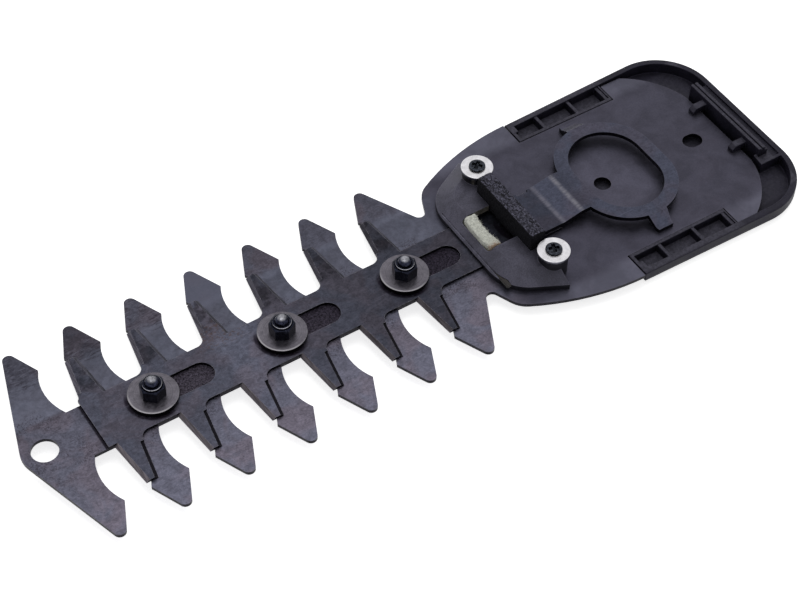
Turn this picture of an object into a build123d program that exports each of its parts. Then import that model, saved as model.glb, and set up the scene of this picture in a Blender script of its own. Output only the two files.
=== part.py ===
from build123d import *
import os

# Shrub shear blade set of a small garden machine, in millimetres.
# The origin is the middle of the crank pilot hole, on the top face of the fixed blade.
# +X runs forward to the tip of the blade, +Z is the side that the machine sits on.

# Sheets and running gaps
fixed_thickness = 1.0
moving_thickness = 0.8
yoke_thickness = 1.2
blade_gap = 0.05
washer_gap = 0.1
side_gap = 0.35
roof_gap = 0.3
soft_gap = 0.3
fit_gap = 0.05
seat_gap = 0.1

# Teeth of both blades
pitch = 17.0
tooth_count = 7
last_tooth_x = 57.5
tooth_half = 5.0
waist_depth = 1.95
spine_half = 7.45
shoulder_y = 22.5
peak_y = 33.5
tip_radius = 1.6
nose_length = 10.5
nose_radius = 8.0
hang_hole_radius = 3.4
hang_hole_back = 6.2

moving_lead = 3.9
moving_spine_half = 7.7
moving_root_half = 3.1
moving_web_half = 4.0
moving_tip_half = 1.6
moving_tip_y = 21.1
bevel = 1.0
web_radius = 2.5
front_margin = 4.4
blade_tail_x = 19.0

# Bolts that guide the moving blade
bolt_count = 3
bolt_spacing = 36.0
first_bolt_x = 62.75
bolt_radius = 1.75
bolt_head_radius = 3.1
bolt_head_height = 1.4
bolt_dome = 1.6
bolt_dome_radius = 1.2
bush_radius = 3.35
slot_front = 3.95
slot_rear = 16.45
blade_washer_radius = 6.3
blade_washer_thickness = 1.25
nut_across_flats = 5.8
nut_height = 3.4
collar_radius = 2.45
collar_height = 0.5

# Holder end of the fixed blade
valley_x, valley_y = 47.1, 13.05
valley_radius = 1.7
shoulder_x, shoulder_top_y = 43.0, 22.7
shoulder_radius = 7.0
flank_radius = 70.0
flange_rear_x = 10.0
flange_half = 31.8
pocket_length = 31.8
pocket_inner_y = 24.1
corner_length = 11.3
corner_width = 15.9
corner_radius = 25.0
rear_x = -39.4
pilot_radius = 2.33
locating_x = -30.4
locating_radius = 2.35
locating_length = 5.7

# Housing and what it carries
post_x = 29.0
post_y = 17.2
post_radius = 3.9
post_height = 6.4
post_washer_radius = 4.3
post_washer_thickness = 0.8
screw_radius = 1.45
screw_head_radius = 2.2
screw_head_height = 0.8
screw_depth = 1.9
recess_width = 0.6
recess_length = 2.6
recess_depth = 0.5

housing_front_x = 44.0
housing_rear_x = 29.2
housing_wall_height = 1.6
housing_height = 4.2
housing_corner_y = 17.7
housing_rear_y = 25.2
housing_corner_radius = 12.0
plateau_setback = 4.9
plateau_corner_y = 14.6
plateau_rear_y = 20.3
plateau_corner_radius = 7.0
housing_edge_radius = 0.4
window_front = 2.7
window_half = 6.3
window_corner = 1.0

seal_rear_x = 28.1
seal_thickness = 4.4
seal_half = 12.2
seal_height = 9.4
felt_thickness = 4.0
felt_crown = 0.7
wiper_setback = 0.8
wiper_width = 1.3
wiper_height = 0.75
wiper_left_y = 17.6
wiper_right_y = -12.0

# Drive yoke
yoke_ring_x = -4.1
yoke_inner_radius = 10.4
yoke_rim_width = 3.8
stroke = 8.0
arm_half = 7.4
arm_front_x = 28.7
ramp_front_x = 17.9
ramp_rear_x = 12.4
ring_lift = 1.25
arm_notch_x = 21.45
arm_notch_length = 3.5
arm_notch_depth = 0.7
bend_radius = 1.5
foot_root_half = 2.9
foot_tip_half = 2.3
foot_ramp_y = 21.0
foot_tip_y = 22.1
foot_bend_radius = 1.2

# Bottom cover
cover_depth = 4.0
cover_floor = 1.6
cover_wall = 1.8
cover_inset = 2.4
cover_front_x = 41.5
cover_rear_x = -48.4
cover_side_step = 0.15
cover_side_spread = 0.95
cover_corner_radius = 16.0
cover_rim_front = 0.2
cover_rim_rear = 1.0
cover_edge_radius = 2.0
rim_edge_radius = 0.4
pocket_wall = 0.9
pocket_rise = 0.15
ledge = 1.1
rib_thickness = 0.9
rib_positions = (0.6, -10.3, -20.3)
boss_radius = 3.6
ring_boss_radius = 5.0
ring_boss_wall = 1.4
catch_x = -41.0
catch_thickness = 2.2
catch_half = 14.7
catch_height = 3.4
catch_groove = 0.5
catch_step = 0.9
catch_step_height = 2.2
catch_ledge_height = 0.4
hook_y = 8.5
hook_width = 2.0
hook_reach = 4.4
hook_height = 2.0
hook_nose = 1.0
gusset_wall = 0.8
gusset_knee = 0.4
gusset_height = 1.0

# Heights that follow from the stack of sheets
moving_bottom = blade_gap
moving_top = moving_bottom + moving_thickness
yoke_top = moving_top + yoke_thickness
washer_bottom = moving_top + washer_gap
washer_top = washer_bottom + blade_washer_thickness
cover_bottom = -cover_depth
cover_inside = cover_bottom + cover_floor

# Half widths of the bottom cover beside the flange and at its rear end
cover_side_front = flange_half - cover_side_step
cover_side_rear = cover_side_front + cover_side_spread

end_tooth_x = last_tooth_x + (tooth_count - 1) * pitch
bolt_places = [first_bolt_x + i * bolt_spacing for i in range(bolt_count)]
post_places = [(post_x, post_y), (post_x, -post_y)]


def slab(face, low, high):
    """A flat plan face made into a plate between two heights."""
    return extrude(Pos(0, 0, low) * face, high - low)


def outline(*edges):
    """A plan face inside a closed run of edges."""
    return make_face(Curve() + list(edges))


def both_sides(half):
    """A plan shape together with its mirror image across the blade's middle line."""
    return half + mirror(half, Plane.XZ)


def rectangle(x_low, x_high, y_low, y_high):
    """A plan rectangle given by its four sides."""
    centre = Pos((x_low + x_high) / 2, (y_low + y_high) / 2)
    return centre * Rectangle(x_high - x_low, y_high - y_low)


def block(x_low, x_high, y_low, y_high, low, high):
    """A box given by its six sides."""
    return slab(rectangle(x_low, x_high, y_low, y_high), low, high)


def disc(x, y, radius, low, high):
    """A round plate or pin that stands along Z."""
    return slab(Pos(x, y) * Circle(radius), low, high)


def round_at(face, x, y, radius):
    """A plan face with the corner nearest to a point rounded."""
    corner = face.vertices().sort_by_distance((x, y, 0))[0]
    return fillet(corner, radius)


def fixed_tooth(x):
    """Half of a double-hooked tooth: a hollow waist on each side and a pointed head."""
    middle_y = (spine_half + shoulder_y) / 2
    face = outline(
        Line((x - tooth_half, 0), (x - tooth_half, spine_half)),
        ThreePointArc((x - tooth_half, spine_half), (x - tooth_half + waist_depth, middle_y),
                      (x - tooth_half, shoulder_y)),
        Line((x - tooth_half, shoulder_y), (x, peak_y)),
        Line((x, peak_y), (x + tooth_half, shoulder_y)),
        ThreePointArc((x + tooth_half, shoulder_y), (x + tooth_half - waist_depth, middle_y),
                      (x + tooth_half, spine_half)),
        Line((x + tooth_half, spine_half), (x + tooth_half, 0)),
        Line((x + tooth_half, 0), (x - tooth_half, 0)),
    )
    return round_at(face, x, peak_y, tip_radius)


def nose():
    """Half of the front end: a hooked rear side and a straight front edge to the nose."""
    x = end_tooth_x
    middle_y = (spine_half + shoulder_y) / 2
    face = outline(
        Line((x - tooth_half, 0), (x - tooth_half, spine_half)),
        ThreePointArc((x - tooth_half, spine_half), (x - tooth_half + waist_depth, middle_y),
                      (x - tooth_half, shoulder_y)),
        Line((x - tooth_half, shoulder_y), (x, peak_y)),
        Line((x, peak_y), (x + nose_length, 0)),
        Line((x + nose_length, 0), (x - tooth_half, 0)),
    )
    return round_at(face, x, peak_y, tip_radius)


def last_tooth():
    """Half of the tooth beside the holder, whose rear side runs straight down to a notch."""
    x = last_tooth_x
    middle_y = (spine_half + shoulder_y) / 2
    face = outline(
        Line((valley_x, 0), (valley_x, valley_y)),
        Line((valley_x, valley_y), (x, peak_y)),
        Line((x, peak_y), (x + tooth_half, shoulder_y)),
        ThreePointArc((x + tooth_half, shoulder_y), (x + tooth_half - waist_depth, middle_y),
                      (x + tooth_half, spine_half)),
        Line((x + tooth_half, spine_half), (x + tooth_half, 0)),
        Line((x + tooth_half, 0), (valley_x, 0)),
    )
    return round_at(face, x, peak_y, tip_radius)


def holder_plan():
    """Half of the wide part in front of the side pockets."""
    rear = (flange_rear_x, flange_half)
    shoulder = (shoulder_x, shoulder_top_y)
    face = outline(
        Line((flange_rear_x, 0), rear),
        RadiusArc(rear, shoulder, flank_radius),
        Line(shoulder, (valley_x, valley_y)),
        Line((valley_x, valley_y), (valley_x, 0)),
        Line((valley_x, 0), (flange_rear_x, 0)),
    )
    return round_at(face, *shoulder, shoulder_radius)


def floor_plan():
    """Half of the floor between the side pockets and behind them, with bowed corners."""
    pocket_rear_x = flange_rear_x - pocket_length
    side_y = rear_wall_y(pocket_rear_x) - cover_wall - side_gap
    corner_side = (rear_x + corner_length, side_y)
    corner_rear = (rear_x, side_y - corner_width)
    wide = outline(
        Line((pocket_rear_x, 0), (pocket_rear_x, side_y)),
        Line((pocket_rear_x, side_y), corner_side),
        RadiusArc(corner_side, corner_rear, -corner_radius),
        Line(corner_rear, (rear_x, 0)),
        Line((rear_x, 0), (pocket_rear_x, 0)),
    )
    return rectangle(pocket_rear_x, flange_rear_x, 0, pocket_inner_y) + wide


def rear_wall_y(x):
    """Half width of the bottom cover at a place along it, for its sides widen to the rear."""
    share = (flange_rear_x - x) / (flange_rear_x - rear_x)
    return cover_side_front + share * (cover_side_rear - cover_side_front)


def fixed_blade():
    """The toothed lower blade and the floor of the holder, one stamped sheet."""
    half = nose() + last_tooth() + holder_plan() + floor_plan()
    half += rectangle(flange_rear_x, end_tooth_x, 0, spine_half)
    for i in range(1, tooth_count - 1):
        half += fixed_tooth(last_tooth_x + i * pitch)
    half = round_at(half, valley_x, valley_y, valley_radius)
    plan = both_sides(half)
    plan = round_at(plan, end_tooth_x + nose_length, 0, nose_radius)
    plan -= Pos(end_tooth_x + nose_length - hang_hole_back, 0) * Circle(hang_hole_radius)
    plan -= Circle(pilot_radius)
    plan -= Pos(locating_x, 0) * SlotOverall(locating_length, 2 * locating_radius)
    for x in bolt_places:
        plan -= Pos(x, 0) * Circle(bolt_radius + fit_gap)
    for x, y in post_places:
        plan -= Pos(x, y) * Circle(screw_radius + seat_gap)
    return slab(plan, -fixed_thickness, 0)


def moving_tooth_plan(x, side, margin):
    """The tapered plan of a moving tooth, drawn in on both cutting sides by a margin."""
    web_x = x - side * (moving_web_half - margin)
    root_x = x + side * (moving_root_half - margin)
    tip = side * (moving_tip_half - margin)
    inner_y = side * (moving_spine_half - bevel)
    root_y = side * moving_spine_half
    tip_y = side * moving_tip_y
    return make_face(Polyline(
        (web_x, inner_y), (web_x, root_y), (x - tip, tip_y), (x + tip, tip_y),
        (root_x, root_y), (root_x, inner_y), close=True))


def moving_tooth(x, side):
    """One bevelled tooth of the moving blade, wider at its underside than on top."""
    underside = Pos(0, 0, moving_bottom) * moving_tooth_plan(x, side, 0)
    top = Pos(0, 0, moving_top) * moving_tooth_plan(x, side, bevel)
    return loft([underside, top], ruled=True)


def rounded_root(rounded, x, side):
    """The unbevelled corner where a moving tooth leaves the spine, cut from the rounded plan."""
    outer_x = x - side * (moving_web_half + web_radius)
    inner_y = side * (moving_spine_half - bevel)
    outer_y = side * (moving_spine_half + web_radius)
    return rounded & rectangle(*sorted((x, outer_x)), *sorted((inner_y, outer_y)))


def moving_blade():
    """The sliding upper blade: a spine with guide slots, bevelled teeth and rounded roots."""
    front_x = last_tooth_x + (tooth_count - 2) * pitch + moving_lead + front_margin
    spine = rectangle(blade_tail_x, front_x, -moving_spine_half, moving_spine_half)
    places = [(last_tooth_x + i * pitch + moving_lead, side)
              for i in range(tooth_count - 1) for side in (1, -1)]
    sharp = spine + rectangle(front_x, front_x + web_radius, -moving_spine_half, moving_spine_half)
    for x, side in places:
        sharp += moving_tooth_plan(x, side, 0)
    rounded = sharp
    for x, side in places:
        rounded = round_at(rounded, x - side * moving_web_half, side * moving_spine_half, web_radius)
    plan = spine
    for x, side in places:
        plan += rounded_root(rounded, x, side)
    plan &= rectangle(blade_tail_x, front_x, -moving_tip_y, moving_tip_y)
    blade = slab(plan, moving_bottom, moving_top)
    for x, side in places:
        blade += moving_tooth(x, side)
    for x in bolt_places:
        slot = SlotOverall(slot_front + slot_rear, 2 * (bush_radius + washer_gap))
        blade -= slab(Pos(x + (slot_front - slot_rear) / 2, 0) * slot, moving_bottom, moving_top)
    return blade


def drive_yoke():
    """The stepped arm and its oval ring, in which the machine's crank turns."""
    ring_bottom = moving_top + ring_lift
    ring_top = ring_bottom + yoke_thickness
    outer_radius = yoke_inner_radius + yoke_rim_width
    side_view = Polyline(
        (arm_front_x, moving_top), (ramp_front_x, moving_top), (ramp_rear_x, ring_bottom),
        (yoke_ring_x + yoke_inner_radius, ring_bottom), (yoke_ring_x + yoke_inner_radius, ring_top),
        (ramp_rear_x, ring_top), (ramp_front_x, yoke_top), (arm_front_x, yoke_top), close=True)
    profile = Plane.XZ * make_face(side_view)
    for height in (moving_top, yoke_top):
        profile = fillet(profile.vertices().sort_by_distance((ramp_front_x, 0, height))[0], bend_radius)
    for height in (ring_bottom, ring_top):
        profile = fillet(profile.vertices().sort_by_distance((ramp_rear_x, 0, height))[0], bend_radius)
    arm = extrude(profile, arm_half, both=True)

    ring = slab(Pos(yoke_ring_x, 0) * oval(outer_radius), ring_bottom, ring_top)
    yoke = arm + ring
    for side in (1, -1):
        yoke += yoke_foot(side, ring_bottom)
    yoke -= slab(Pos(yoke_ring_x, 0) * oval(yoke_inner_radius), 0, 2 * ring_top)
    yoke -= block(arm_notch_x - arm_notch_length / 2, arm_notch_x + arm_notch_length / 2,
                  -arm_half, -arm_half + arm_notch_depth, 0, ring_top)
    return yoke


def oval(radius):
    """A plan oval across the blade: two half circles that stand one stroke apart."""
    return SlotCenterToCenter(stroke, 2 * radius, rotation=90)


def yoke_foot(side, ring_bottom):
    """A tab on the side of the ring, bent down to slide on the fixed blade."""
    root_y = stroke / 2 + yoke_inner_radius + yoke_rim_width / 2
    bend_y = stroke / 2 + yoke_inner_radius + yoke_rim_width
    foot_bottom = blade_gap
    bottom_line = [(root_y, ring_bottom), (bend_y, ring_bottom), (foot_ramp_y, foot_bottom),
                   (foot_tip_y, foot_bottom)]
    top_line = [(y, z + yoke_thickness) for y, z in reversed(bottom_line)]
    profile = Plane.YZ * make_face(Polyline(*bottom_line, *top_line, close=True))
    for y, z in (bottom_line[1], bottom_line[2], top_line[1], top_line[2]):
        profile = fillet(profile.vertices().sort_by_distance((0, y, z))[0], foot_bend_radius)
    strip = Pos(yoke_ring_x, 0) * extrude(profile, foot_root_half, both=True)
    taper = make_face(Polyline(
        (yoke_ring_x - foot_root_half, root_y), (yoke_ring_x + foot_root_half, root_y),
        (yoke_ring_x + foot_root_half, bend_y), (yoke_ring_x + foot_tip_half, foot_tip_y),
        (yoke_ring_x - foot_tip_half, foot_tip_y), (yoke_ring_x - foot_root_half, bend_y), close=True))
    foot = strip & slab(taper, foot_bottom, ring_bottom + yoke_thickness)
    return foot if side > 0 else mirror(foot, Plane.XZ)


def slot_bush(x):
    """The guide bush that fills a slot of the moving blade and carries the washer."""
    return disc(x, 0, bush_radius, 0, washer_bottom) - disc(x, 0, bolt_radius + fit_gap, 0, washer_bottom)


def blade_washer(x):
    """The large washer that keeps the moving blade down."""
    washer = disc(x, 0, blade_washer_radius, washer_bottom, washer_top)
    washer = fillet(washer.edges().group_by(Axis.Z)[-1], blade_washer_thickness / 4)
    return washer - disc(x, 0, bolt_radius + fit_gap, washer_bottom, washer_top)


def blade_nut(x):
    """The hexagon nut with a round collar on top."""
    hexagon = RegularPolygon(nut_across_flats / 2, 6, major_radius=False)
    body = slab(Pos(x, 0) * hexagon, washer_top, washer_top + nut_height)
    cone = Pos(x, 0, washer_top + nut_height / 2) * Cone(
        nut_across_flats / 2 + nut_height, nut_across_flats / 2 - collar_height / 2, nut_height)
    body &= cone
    collar_top = washer_top + nut_height + collar_height
    collar = disc(x, 0, collar_radius, washer_top, collar_top)
    collar = fillet(collar.edges().group_by(Axis.Z)[-1], collar_height / 2)
    return body + collar - disc(x, 0, bolt_radius + fit_gap, washer_top, collar_top)


def blade_bolt(x):
    """The bolt that goes up through the fixed blade, with a domed end above its nut."""
    top = washer_top + nut_height + collar_height + bolt_dome
    shank = disc(x, 0, bolt_radius, -fixed_thickness, top)
    shank = fillet(shank.edges().group_by(Axis.Z)[-1], bolt_dome_radius)
    head = disc(x, 0, bolt_head_radius, -fixed_thickness - bolt_head_height, -fixed_thickness)
    head = fillet(head.edges().group_by(Axis.Z)[0], bolt_head_height / 2)
    return shank + head


def housing_plan(front_x, corner_y, rear_y, radius):
    """Half of a bell-shaped level of the housing: straight front, round corner, slanted flank."""
    face = outline(
        Line((housing_rear_x, 0), (housing_rear_x, rear_y)),
        Line((housing_rear_x, rear_y), (front_x, corner_y)),
        Line((front_x, corner_y), (front_x, 0)),
        Line((front_x, 0), (housing_rear_x, 0)),
    )
    return round_at(face, front_x, corner_y, radius)


def window_front_x():
    return housing_front_x - window_front


def seal_front_x():
    return seal_rear_x + seal_thickness


def guide_housing():
    """The moulded block over the blade's tail, with a sloped rim, a window and two screw posts."""
    base = housing_plan(housing_front_x, housing_corner_y, housing_rear_y, housing_corner_radius)
    plateau = housing_plan(housing_front_x - plateau_setback, plateau_corner_y, plateau_rear_y,
                           plateau_corner_radius)
    slope = loft([Pos(0, 0, housing_wall_height) * base, Pos(0, 0, housing_height) * plateau], ruled=True)
    half = slab(base, 0, housing_wall_height) + slope
    housing = both_sides(half)
    ridge = housing.edges().filter_by_position(Axis.Z, housing_height, housing_height)
    ridge = ridge.filter_by_position(Axis.X, housing_rear_x + housing_edge_radius, housing_front_x)
    housing = fillet(ridge, housing_edge_radius)
    for x, y in post_places:
        housing += disc(x, y, post_radius, 0, post_height)
        housing -= disc(x, y, screw_radius + seat_gap, 0, post_height)

    window = rectangle(housing_rear_x, window_front_x(), -window_half, window_half)
    window = fillet(window.vertices().group_by(Axis.X)[-1], window_corner)
    housing -= slab(window, 0, housing_height)
    housing -= block(housing_rear_x - post_radius, seal_front_x(), -seal_half - seat_gap,
                     seal_half + seat_gap, 0, housing_height)
    tunnel_half = moving_spine_half + side_gap
    housing -= block(housing_rear_x, housing_front_x, -tunnel_half, tunnel_half,
                     0, moving_top + roof_gap)
    housing -= block(housing_rear_x, arm_front_x + stroke + side_gap, -tunnel_half, tunnel_half,
                     0, yoke_top + roof_gap)
    housing -= wiper_strip(seat_gap)
    return housing


def wiper_strip(margin):
    """The strip of felt across the blade under the housing's front, or its groove."""
    front = housing_front_x - wiper_setback + margin
    rear = housing_front_x - wiper_setback - wiper_width - margin
    bottom = moving_top + soft_gap
    low = 0 if margin else bottom
    return block(rear, front, wiper_right_y - margin, wiper_left_y + margin, low,
                 bottom + wiper_height + margin)


def oil_felt():
    """The felt pad in the front of the window, which oils the moving blade."""
    front = window_front_x() - seat_gap
    half = window_half - seat_gap
    face = rectangle(front - felt_thickness, front, -half, half)
    face = fillet(face.vertices().group_by(Axis.X)[-1], window_corner)
    pad = slab(face, moving_top + soft_gap, housing_height + felt_crown - soft_gap)
    ridge = pad.faces().sort_by(Axis.Z)[-1].edges()
    return fillet(ridge, felt_crown)


def seal_block():
    """The upright block of cellular rubber behind the window, open below for the yoke's arm."""
    body = block(seal_rear_x, seal_front_x(), -seal_half, seal_half, 0, seal_height)
    arch_half = moving_spine_half + side_gap
    return body - block(seal_rear_x, seal_front_x(), -arch_half, arch_half, 0, yoke_top + roof_gap)


def housing_washer(x, y):
    """The bright washer on a post."""
    top = post_height + post_washer_thickness
    washer = disc(x, y, post_washer_radius, post_height, top)
    washer = fillet(washer.edges().group_by(Axis.Z)[-1], post_washer_thickness / 4)
    return washer - disc(x, y, screw_radius + seat_gap, post_height, top)


def housing_screw(x, y):
    """The cross-recess screw that holds the housing and the bottom cover together."""
    seat = post_height + post_washer_thickness
    top = seat + screw_head_height
    head = disc(x, y, screw_head_radius, seat, top)
    head = fillet(head.edges().group_by(Axis.Z)[-1], screw_head_height / 2)
    for width, length in ((recess_width, recess_length), (recess_length, recess_width)):
        head -= block(x - width / 2, x + width / 2, y - length / 2, y + length / 2, top - recess_depth, top)
    shank = disc(x, y, screw_radius, -fixed_thickness - screw_depth, seat)
    shank = chamfer(shank.edges().group_by(Axis.Z)[0], screw_radius / 2)
    return head + shank


def cover_plan():
    """Half of the bottom cover: inside the flange in front, outside the floor at the rear."""
    step_x = flange_rear_x - side_gap
    flank_rear = (step_x, flange_half - cover_inset)
    flank_front = (cover_front_x, shoulder_top_y - cover_inset)
    front = outline(
        Line((step_x, 0), flank_rear),
        RadiusArc(flank_rear, flank_front, flank_radius),
        Line(flank_front, (cover_front_x, 0)),
        Line((cover_front_x, 0), (step_x, 0)),
    )
    front = round_at(front, *flank_front, shoulder_radius)
    side_rear = (cover_rear_x, rear_wall_y(cover_rear_x))
    rear = outline(
        Line((cover_rear_x, 0), side_rear),
        Line(side_rear, (step_x, cover_side_front)),
        Line((step_x, cover_side_front), (step_x, 0)),
        Line((step_x, 0), (cover_rear_x, 0)),
    )
    rear = round_at(rear, *side_rear, cover_corner_radius)
    join = rectangle(flange_rear_x - cover_wall, flange_rear_x, 0, pocket_inner_y)
    return front, rear, join


def cover_shell():
    """The tray of the bottom cover, with its floor, its wall and the rising rim at the rear."""
    front, rear, join = cover_plan()
    low = both_sides(front + rear + join)
    shell = slab(low, cover_bottom, -fixed_thickness)
    shell = fillet(shell.faces().sort_by(Axis.Z)[0].outer_wire().edges(), cover_edge_radius)
    shell += slab(both_sides(rear), -fixed_thickness, cover_rim_rear)
    cavity = offset(low, -cover_wall, kind=Kind.INTERSECTION)
    shell -= slab(cavity, cover_inside, cover_rim_rear)
    shell -= block(flange_rear_x - side_gap - cover_wall, flange_rear_x, -pocket_inner_y,
                   pocket_inner_y, -fixed_thickness, cover_rim_rear)

    slope = Polyline((flange_rear_x, cover_rim_front), (rear_x, cover_rim_rear),
                     (rear_x, 2 * cover_rim_rear), (flange_rear_x, 2 * cover_rim_rear), close=True)
    shell -= extrude(Plane.XZ * make_face(slope), cover_side_rear, both=True)
    return round_rim(shell, both_sides(rear).face().outer_wire())


def round_rim(shell, wall_line):
    """The cover's shell with the outer edge of its rim rounded, found along its wall line."""
    rim = []
    for edge in shell.edges():
        middle = edge @ 0.5
        beside = wall_line.distance_to(Vertex(middle.X, middle.Y, 0))
        if middle.Z > 0 and edge.length > 2 * cover_wall and beside < rim_edge_radius:
            rim.append(edge)
    return fillet(rim, rim_edge_radius)


def pocket(side):
    """The walls, ledge and ribs of one side pocket of the bottom cover."""
    front = flange_rear_x - side_gap
    rear = flange_rear_x - pocket_length + side_gap
    inner = pocket_inner_y + side_gap / 2
    outer = cover_side_front - cover_wall
    top = pocket_rise
    walls = block(rear, front, inner, inner + pocket_wall, cover_inside, top)
    walls += block(rear, front, inner - ledge, inner + pocket_wall, cover_inside, -fixed_thickness)
    walls += block(front - pocket_wall, front, inner, outer + cover_wall / 2, cover_inside, top)
    walls += block(rear, rear + pocket_wall / 2, inner, outer + cover_wall / 2, cover_inside, top)
    for x in rib_positions:
        walls += block(x - rib_thickness / 2, x + rib_thickness / 2, inner, outer + cover_wall / 2,
                       cover_inside, 0)
    return walls if side > 0 else mirror(walls, Plane.XZ)


def rear_catch():
    """The upright catch wall behind the floor, with its hooks, its rear ledge and a gusset at one end."""
    rear = catch_x - catch_thickness
    wall = block(rear, catch_x, -catch_half, catch_half, cover_inside, catch_height)
    wall += block(rear - catch_step, rear, -catch_half, catch_half, cover_inside, catch_step_height)
    knee_x = catch_x + gusset_knee
    knee_y = catch_half + catch_thickness
    wall += block(cover_rear_x + cover_wall / 2, catch_x, -catch_half, knee_y, cover_inside, catch_ledge_height)
    middle = catch_x - catch_thickness / 2
    wall -= block(middle - catch_groove / 2, middle + catch_groove / 2, -catch_half, catch_half,
                  catch_height - catch_groove, catch_height)
    for y in (hook_y, -hook_y):
        hook = block(catch_x, catch_x + hook_reach, y - hook_width / 2, y + hook_width / 2,
                     seat_gap, hook_height)
        nose_edge = hook.edges().filter_by(Axis.Y).sort_by_distance(
            (catch_x + hook_reach, y, hook_height))[0]
        wall += chamfer(nose_edge, hook_nose)
    leg = make_face(Polyline(
        (catch_x, catch_half - gusset_wall), (knee_x, knee_y), (cover_rear_x + cover_wall, knee_y),
        (cover_rear_x + cover_wall, knee_y + gusset_wall), (knee_x + gusset_wall, knee_y + gusset_wall),
        (catch_x + gusset_wall, catch_half - gusset_wall), close=True))
    return wall + slab(leg, cover_inside, gusset_height)


def bottom_cover():
    """The moulded tray under the holder, with side pockets, screw bosses and the rear catch."""
    cover = cover_shell()
    for side in (1, -1):
        cover += pocket(side)
    cover += rear_catch()
    for x, y in post_places:
        cover += disc(x, y, boss_radius, cover_inside, -fixed_thickness)
        cover -= disc(x, y, screw_radius + fit_gap, cover_inside - cover_floor / 2, -fixed_thickness)
    for x in (0, locating_x):
        cover += disc(x, 0, ring_boss_radius, cover_inside, -fixed_thickness)
        cover -= disc(x, 0, ring_boss_radius - ring_boss_wall, cover_inside, -fixed_thickness)
    return cover


def save(name, shape):
    """One named piece, written to its own file."""
    export_step(shape, os.path.join("parts", name + ".step"))


def main():
    os.makedirs("parts", exist_ok=True)
    save("bottom_cover", bottom_cover())
    save("fixed_blade", fixed_blade())
    save("moving_blade", moving_blade())
    save("drive_yoke", drive_yoke())
    save("guide_housing", guide_housing())
    save("oil_felt", oil_felt())
    save("wiper_felt", wiper_strip(0))
    save("seal_block", seal_block())
    for i, x in enumerate(bolt_places, 1):
        save(f"slot_bush_{i}", slot_bush(x))
        save(f"blade_washer_{i}", blade_washer(x))
        save(f"blade_nut_{i}", blade_nut(x))
        save(f"blade_bolt_{i}", blade_bolt(x))
    for i, (x, y) in enumerate(post_places, 1):
        save(f"housing_washer_{i}", housing_washer(x, y))
        save(f"housing_screw_{i}", housing_screw(x, y))


main()
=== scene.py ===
"""Look of a clip-in shrub shear blade set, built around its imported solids.

The large sheets and mouldings keep their own solids and get worked finishes here. The small turned,
pressed and soft pieces are made anew as numpy surfaces: bushes, washers, nuts, bolts, screws, the two
felts and the block of cellular rubber. Lengths are in metres, in the frame of the part, and places
inside a finish are in millimetres.
"""
import math

import bmesh
import bpy
import numpy as np
from bpy.props import FloatProperty, FloatVectorProperty, IntProperty, PointerProperty
from mathutils import Matrix, Vector


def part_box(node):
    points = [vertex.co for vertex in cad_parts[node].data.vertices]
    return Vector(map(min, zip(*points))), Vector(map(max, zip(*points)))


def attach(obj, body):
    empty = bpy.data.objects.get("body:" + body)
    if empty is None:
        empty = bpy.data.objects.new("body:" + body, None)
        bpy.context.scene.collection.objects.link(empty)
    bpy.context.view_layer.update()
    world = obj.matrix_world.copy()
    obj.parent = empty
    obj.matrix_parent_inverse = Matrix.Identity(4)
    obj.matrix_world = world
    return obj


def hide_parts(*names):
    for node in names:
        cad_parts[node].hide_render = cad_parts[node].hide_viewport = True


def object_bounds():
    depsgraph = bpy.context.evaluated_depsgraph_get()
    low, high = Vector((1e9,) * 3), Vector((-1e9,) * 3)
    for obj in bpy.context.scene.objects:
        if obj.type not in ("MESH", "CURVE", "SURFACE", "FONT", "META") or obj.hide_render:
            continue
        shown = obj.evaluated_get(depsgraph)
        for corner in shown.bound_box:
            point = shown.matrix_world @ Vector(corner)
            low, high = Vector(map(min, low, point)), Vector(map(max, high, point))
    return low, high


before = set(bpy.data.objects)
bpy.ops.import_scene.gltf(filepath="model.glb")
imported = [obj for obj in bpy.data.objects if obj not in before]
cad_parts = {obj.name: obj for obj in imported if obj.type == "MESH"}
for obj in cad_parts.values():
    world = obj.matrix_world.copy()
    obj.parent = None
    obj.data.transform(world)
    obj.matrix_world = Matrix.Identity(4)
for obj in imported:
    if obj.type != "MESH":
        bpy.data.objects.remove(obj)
cad_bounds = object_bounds()

bl_info = {
    "name": "Shrub shear blade set",
    "version": (1, 0, 0),
    "blender": (4, 5, 0),
    "location": "3D View > Sidebar > Blade set",
    "description": "Finishes and small pieces of a clip-in shrub shear blade set",
    "category": "Object",
}

MM = 0.001
HOLDER = "holder"
# Radius of the hole in the bushes, the blade washers and the nuts
BOLT_HOLE = 1.8 * MM
# Colour of the oily stain on the cream felt
OIL_STAIN = (0.30, 0.17, 0.09)


# Sizes and colours a user may change

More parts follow.
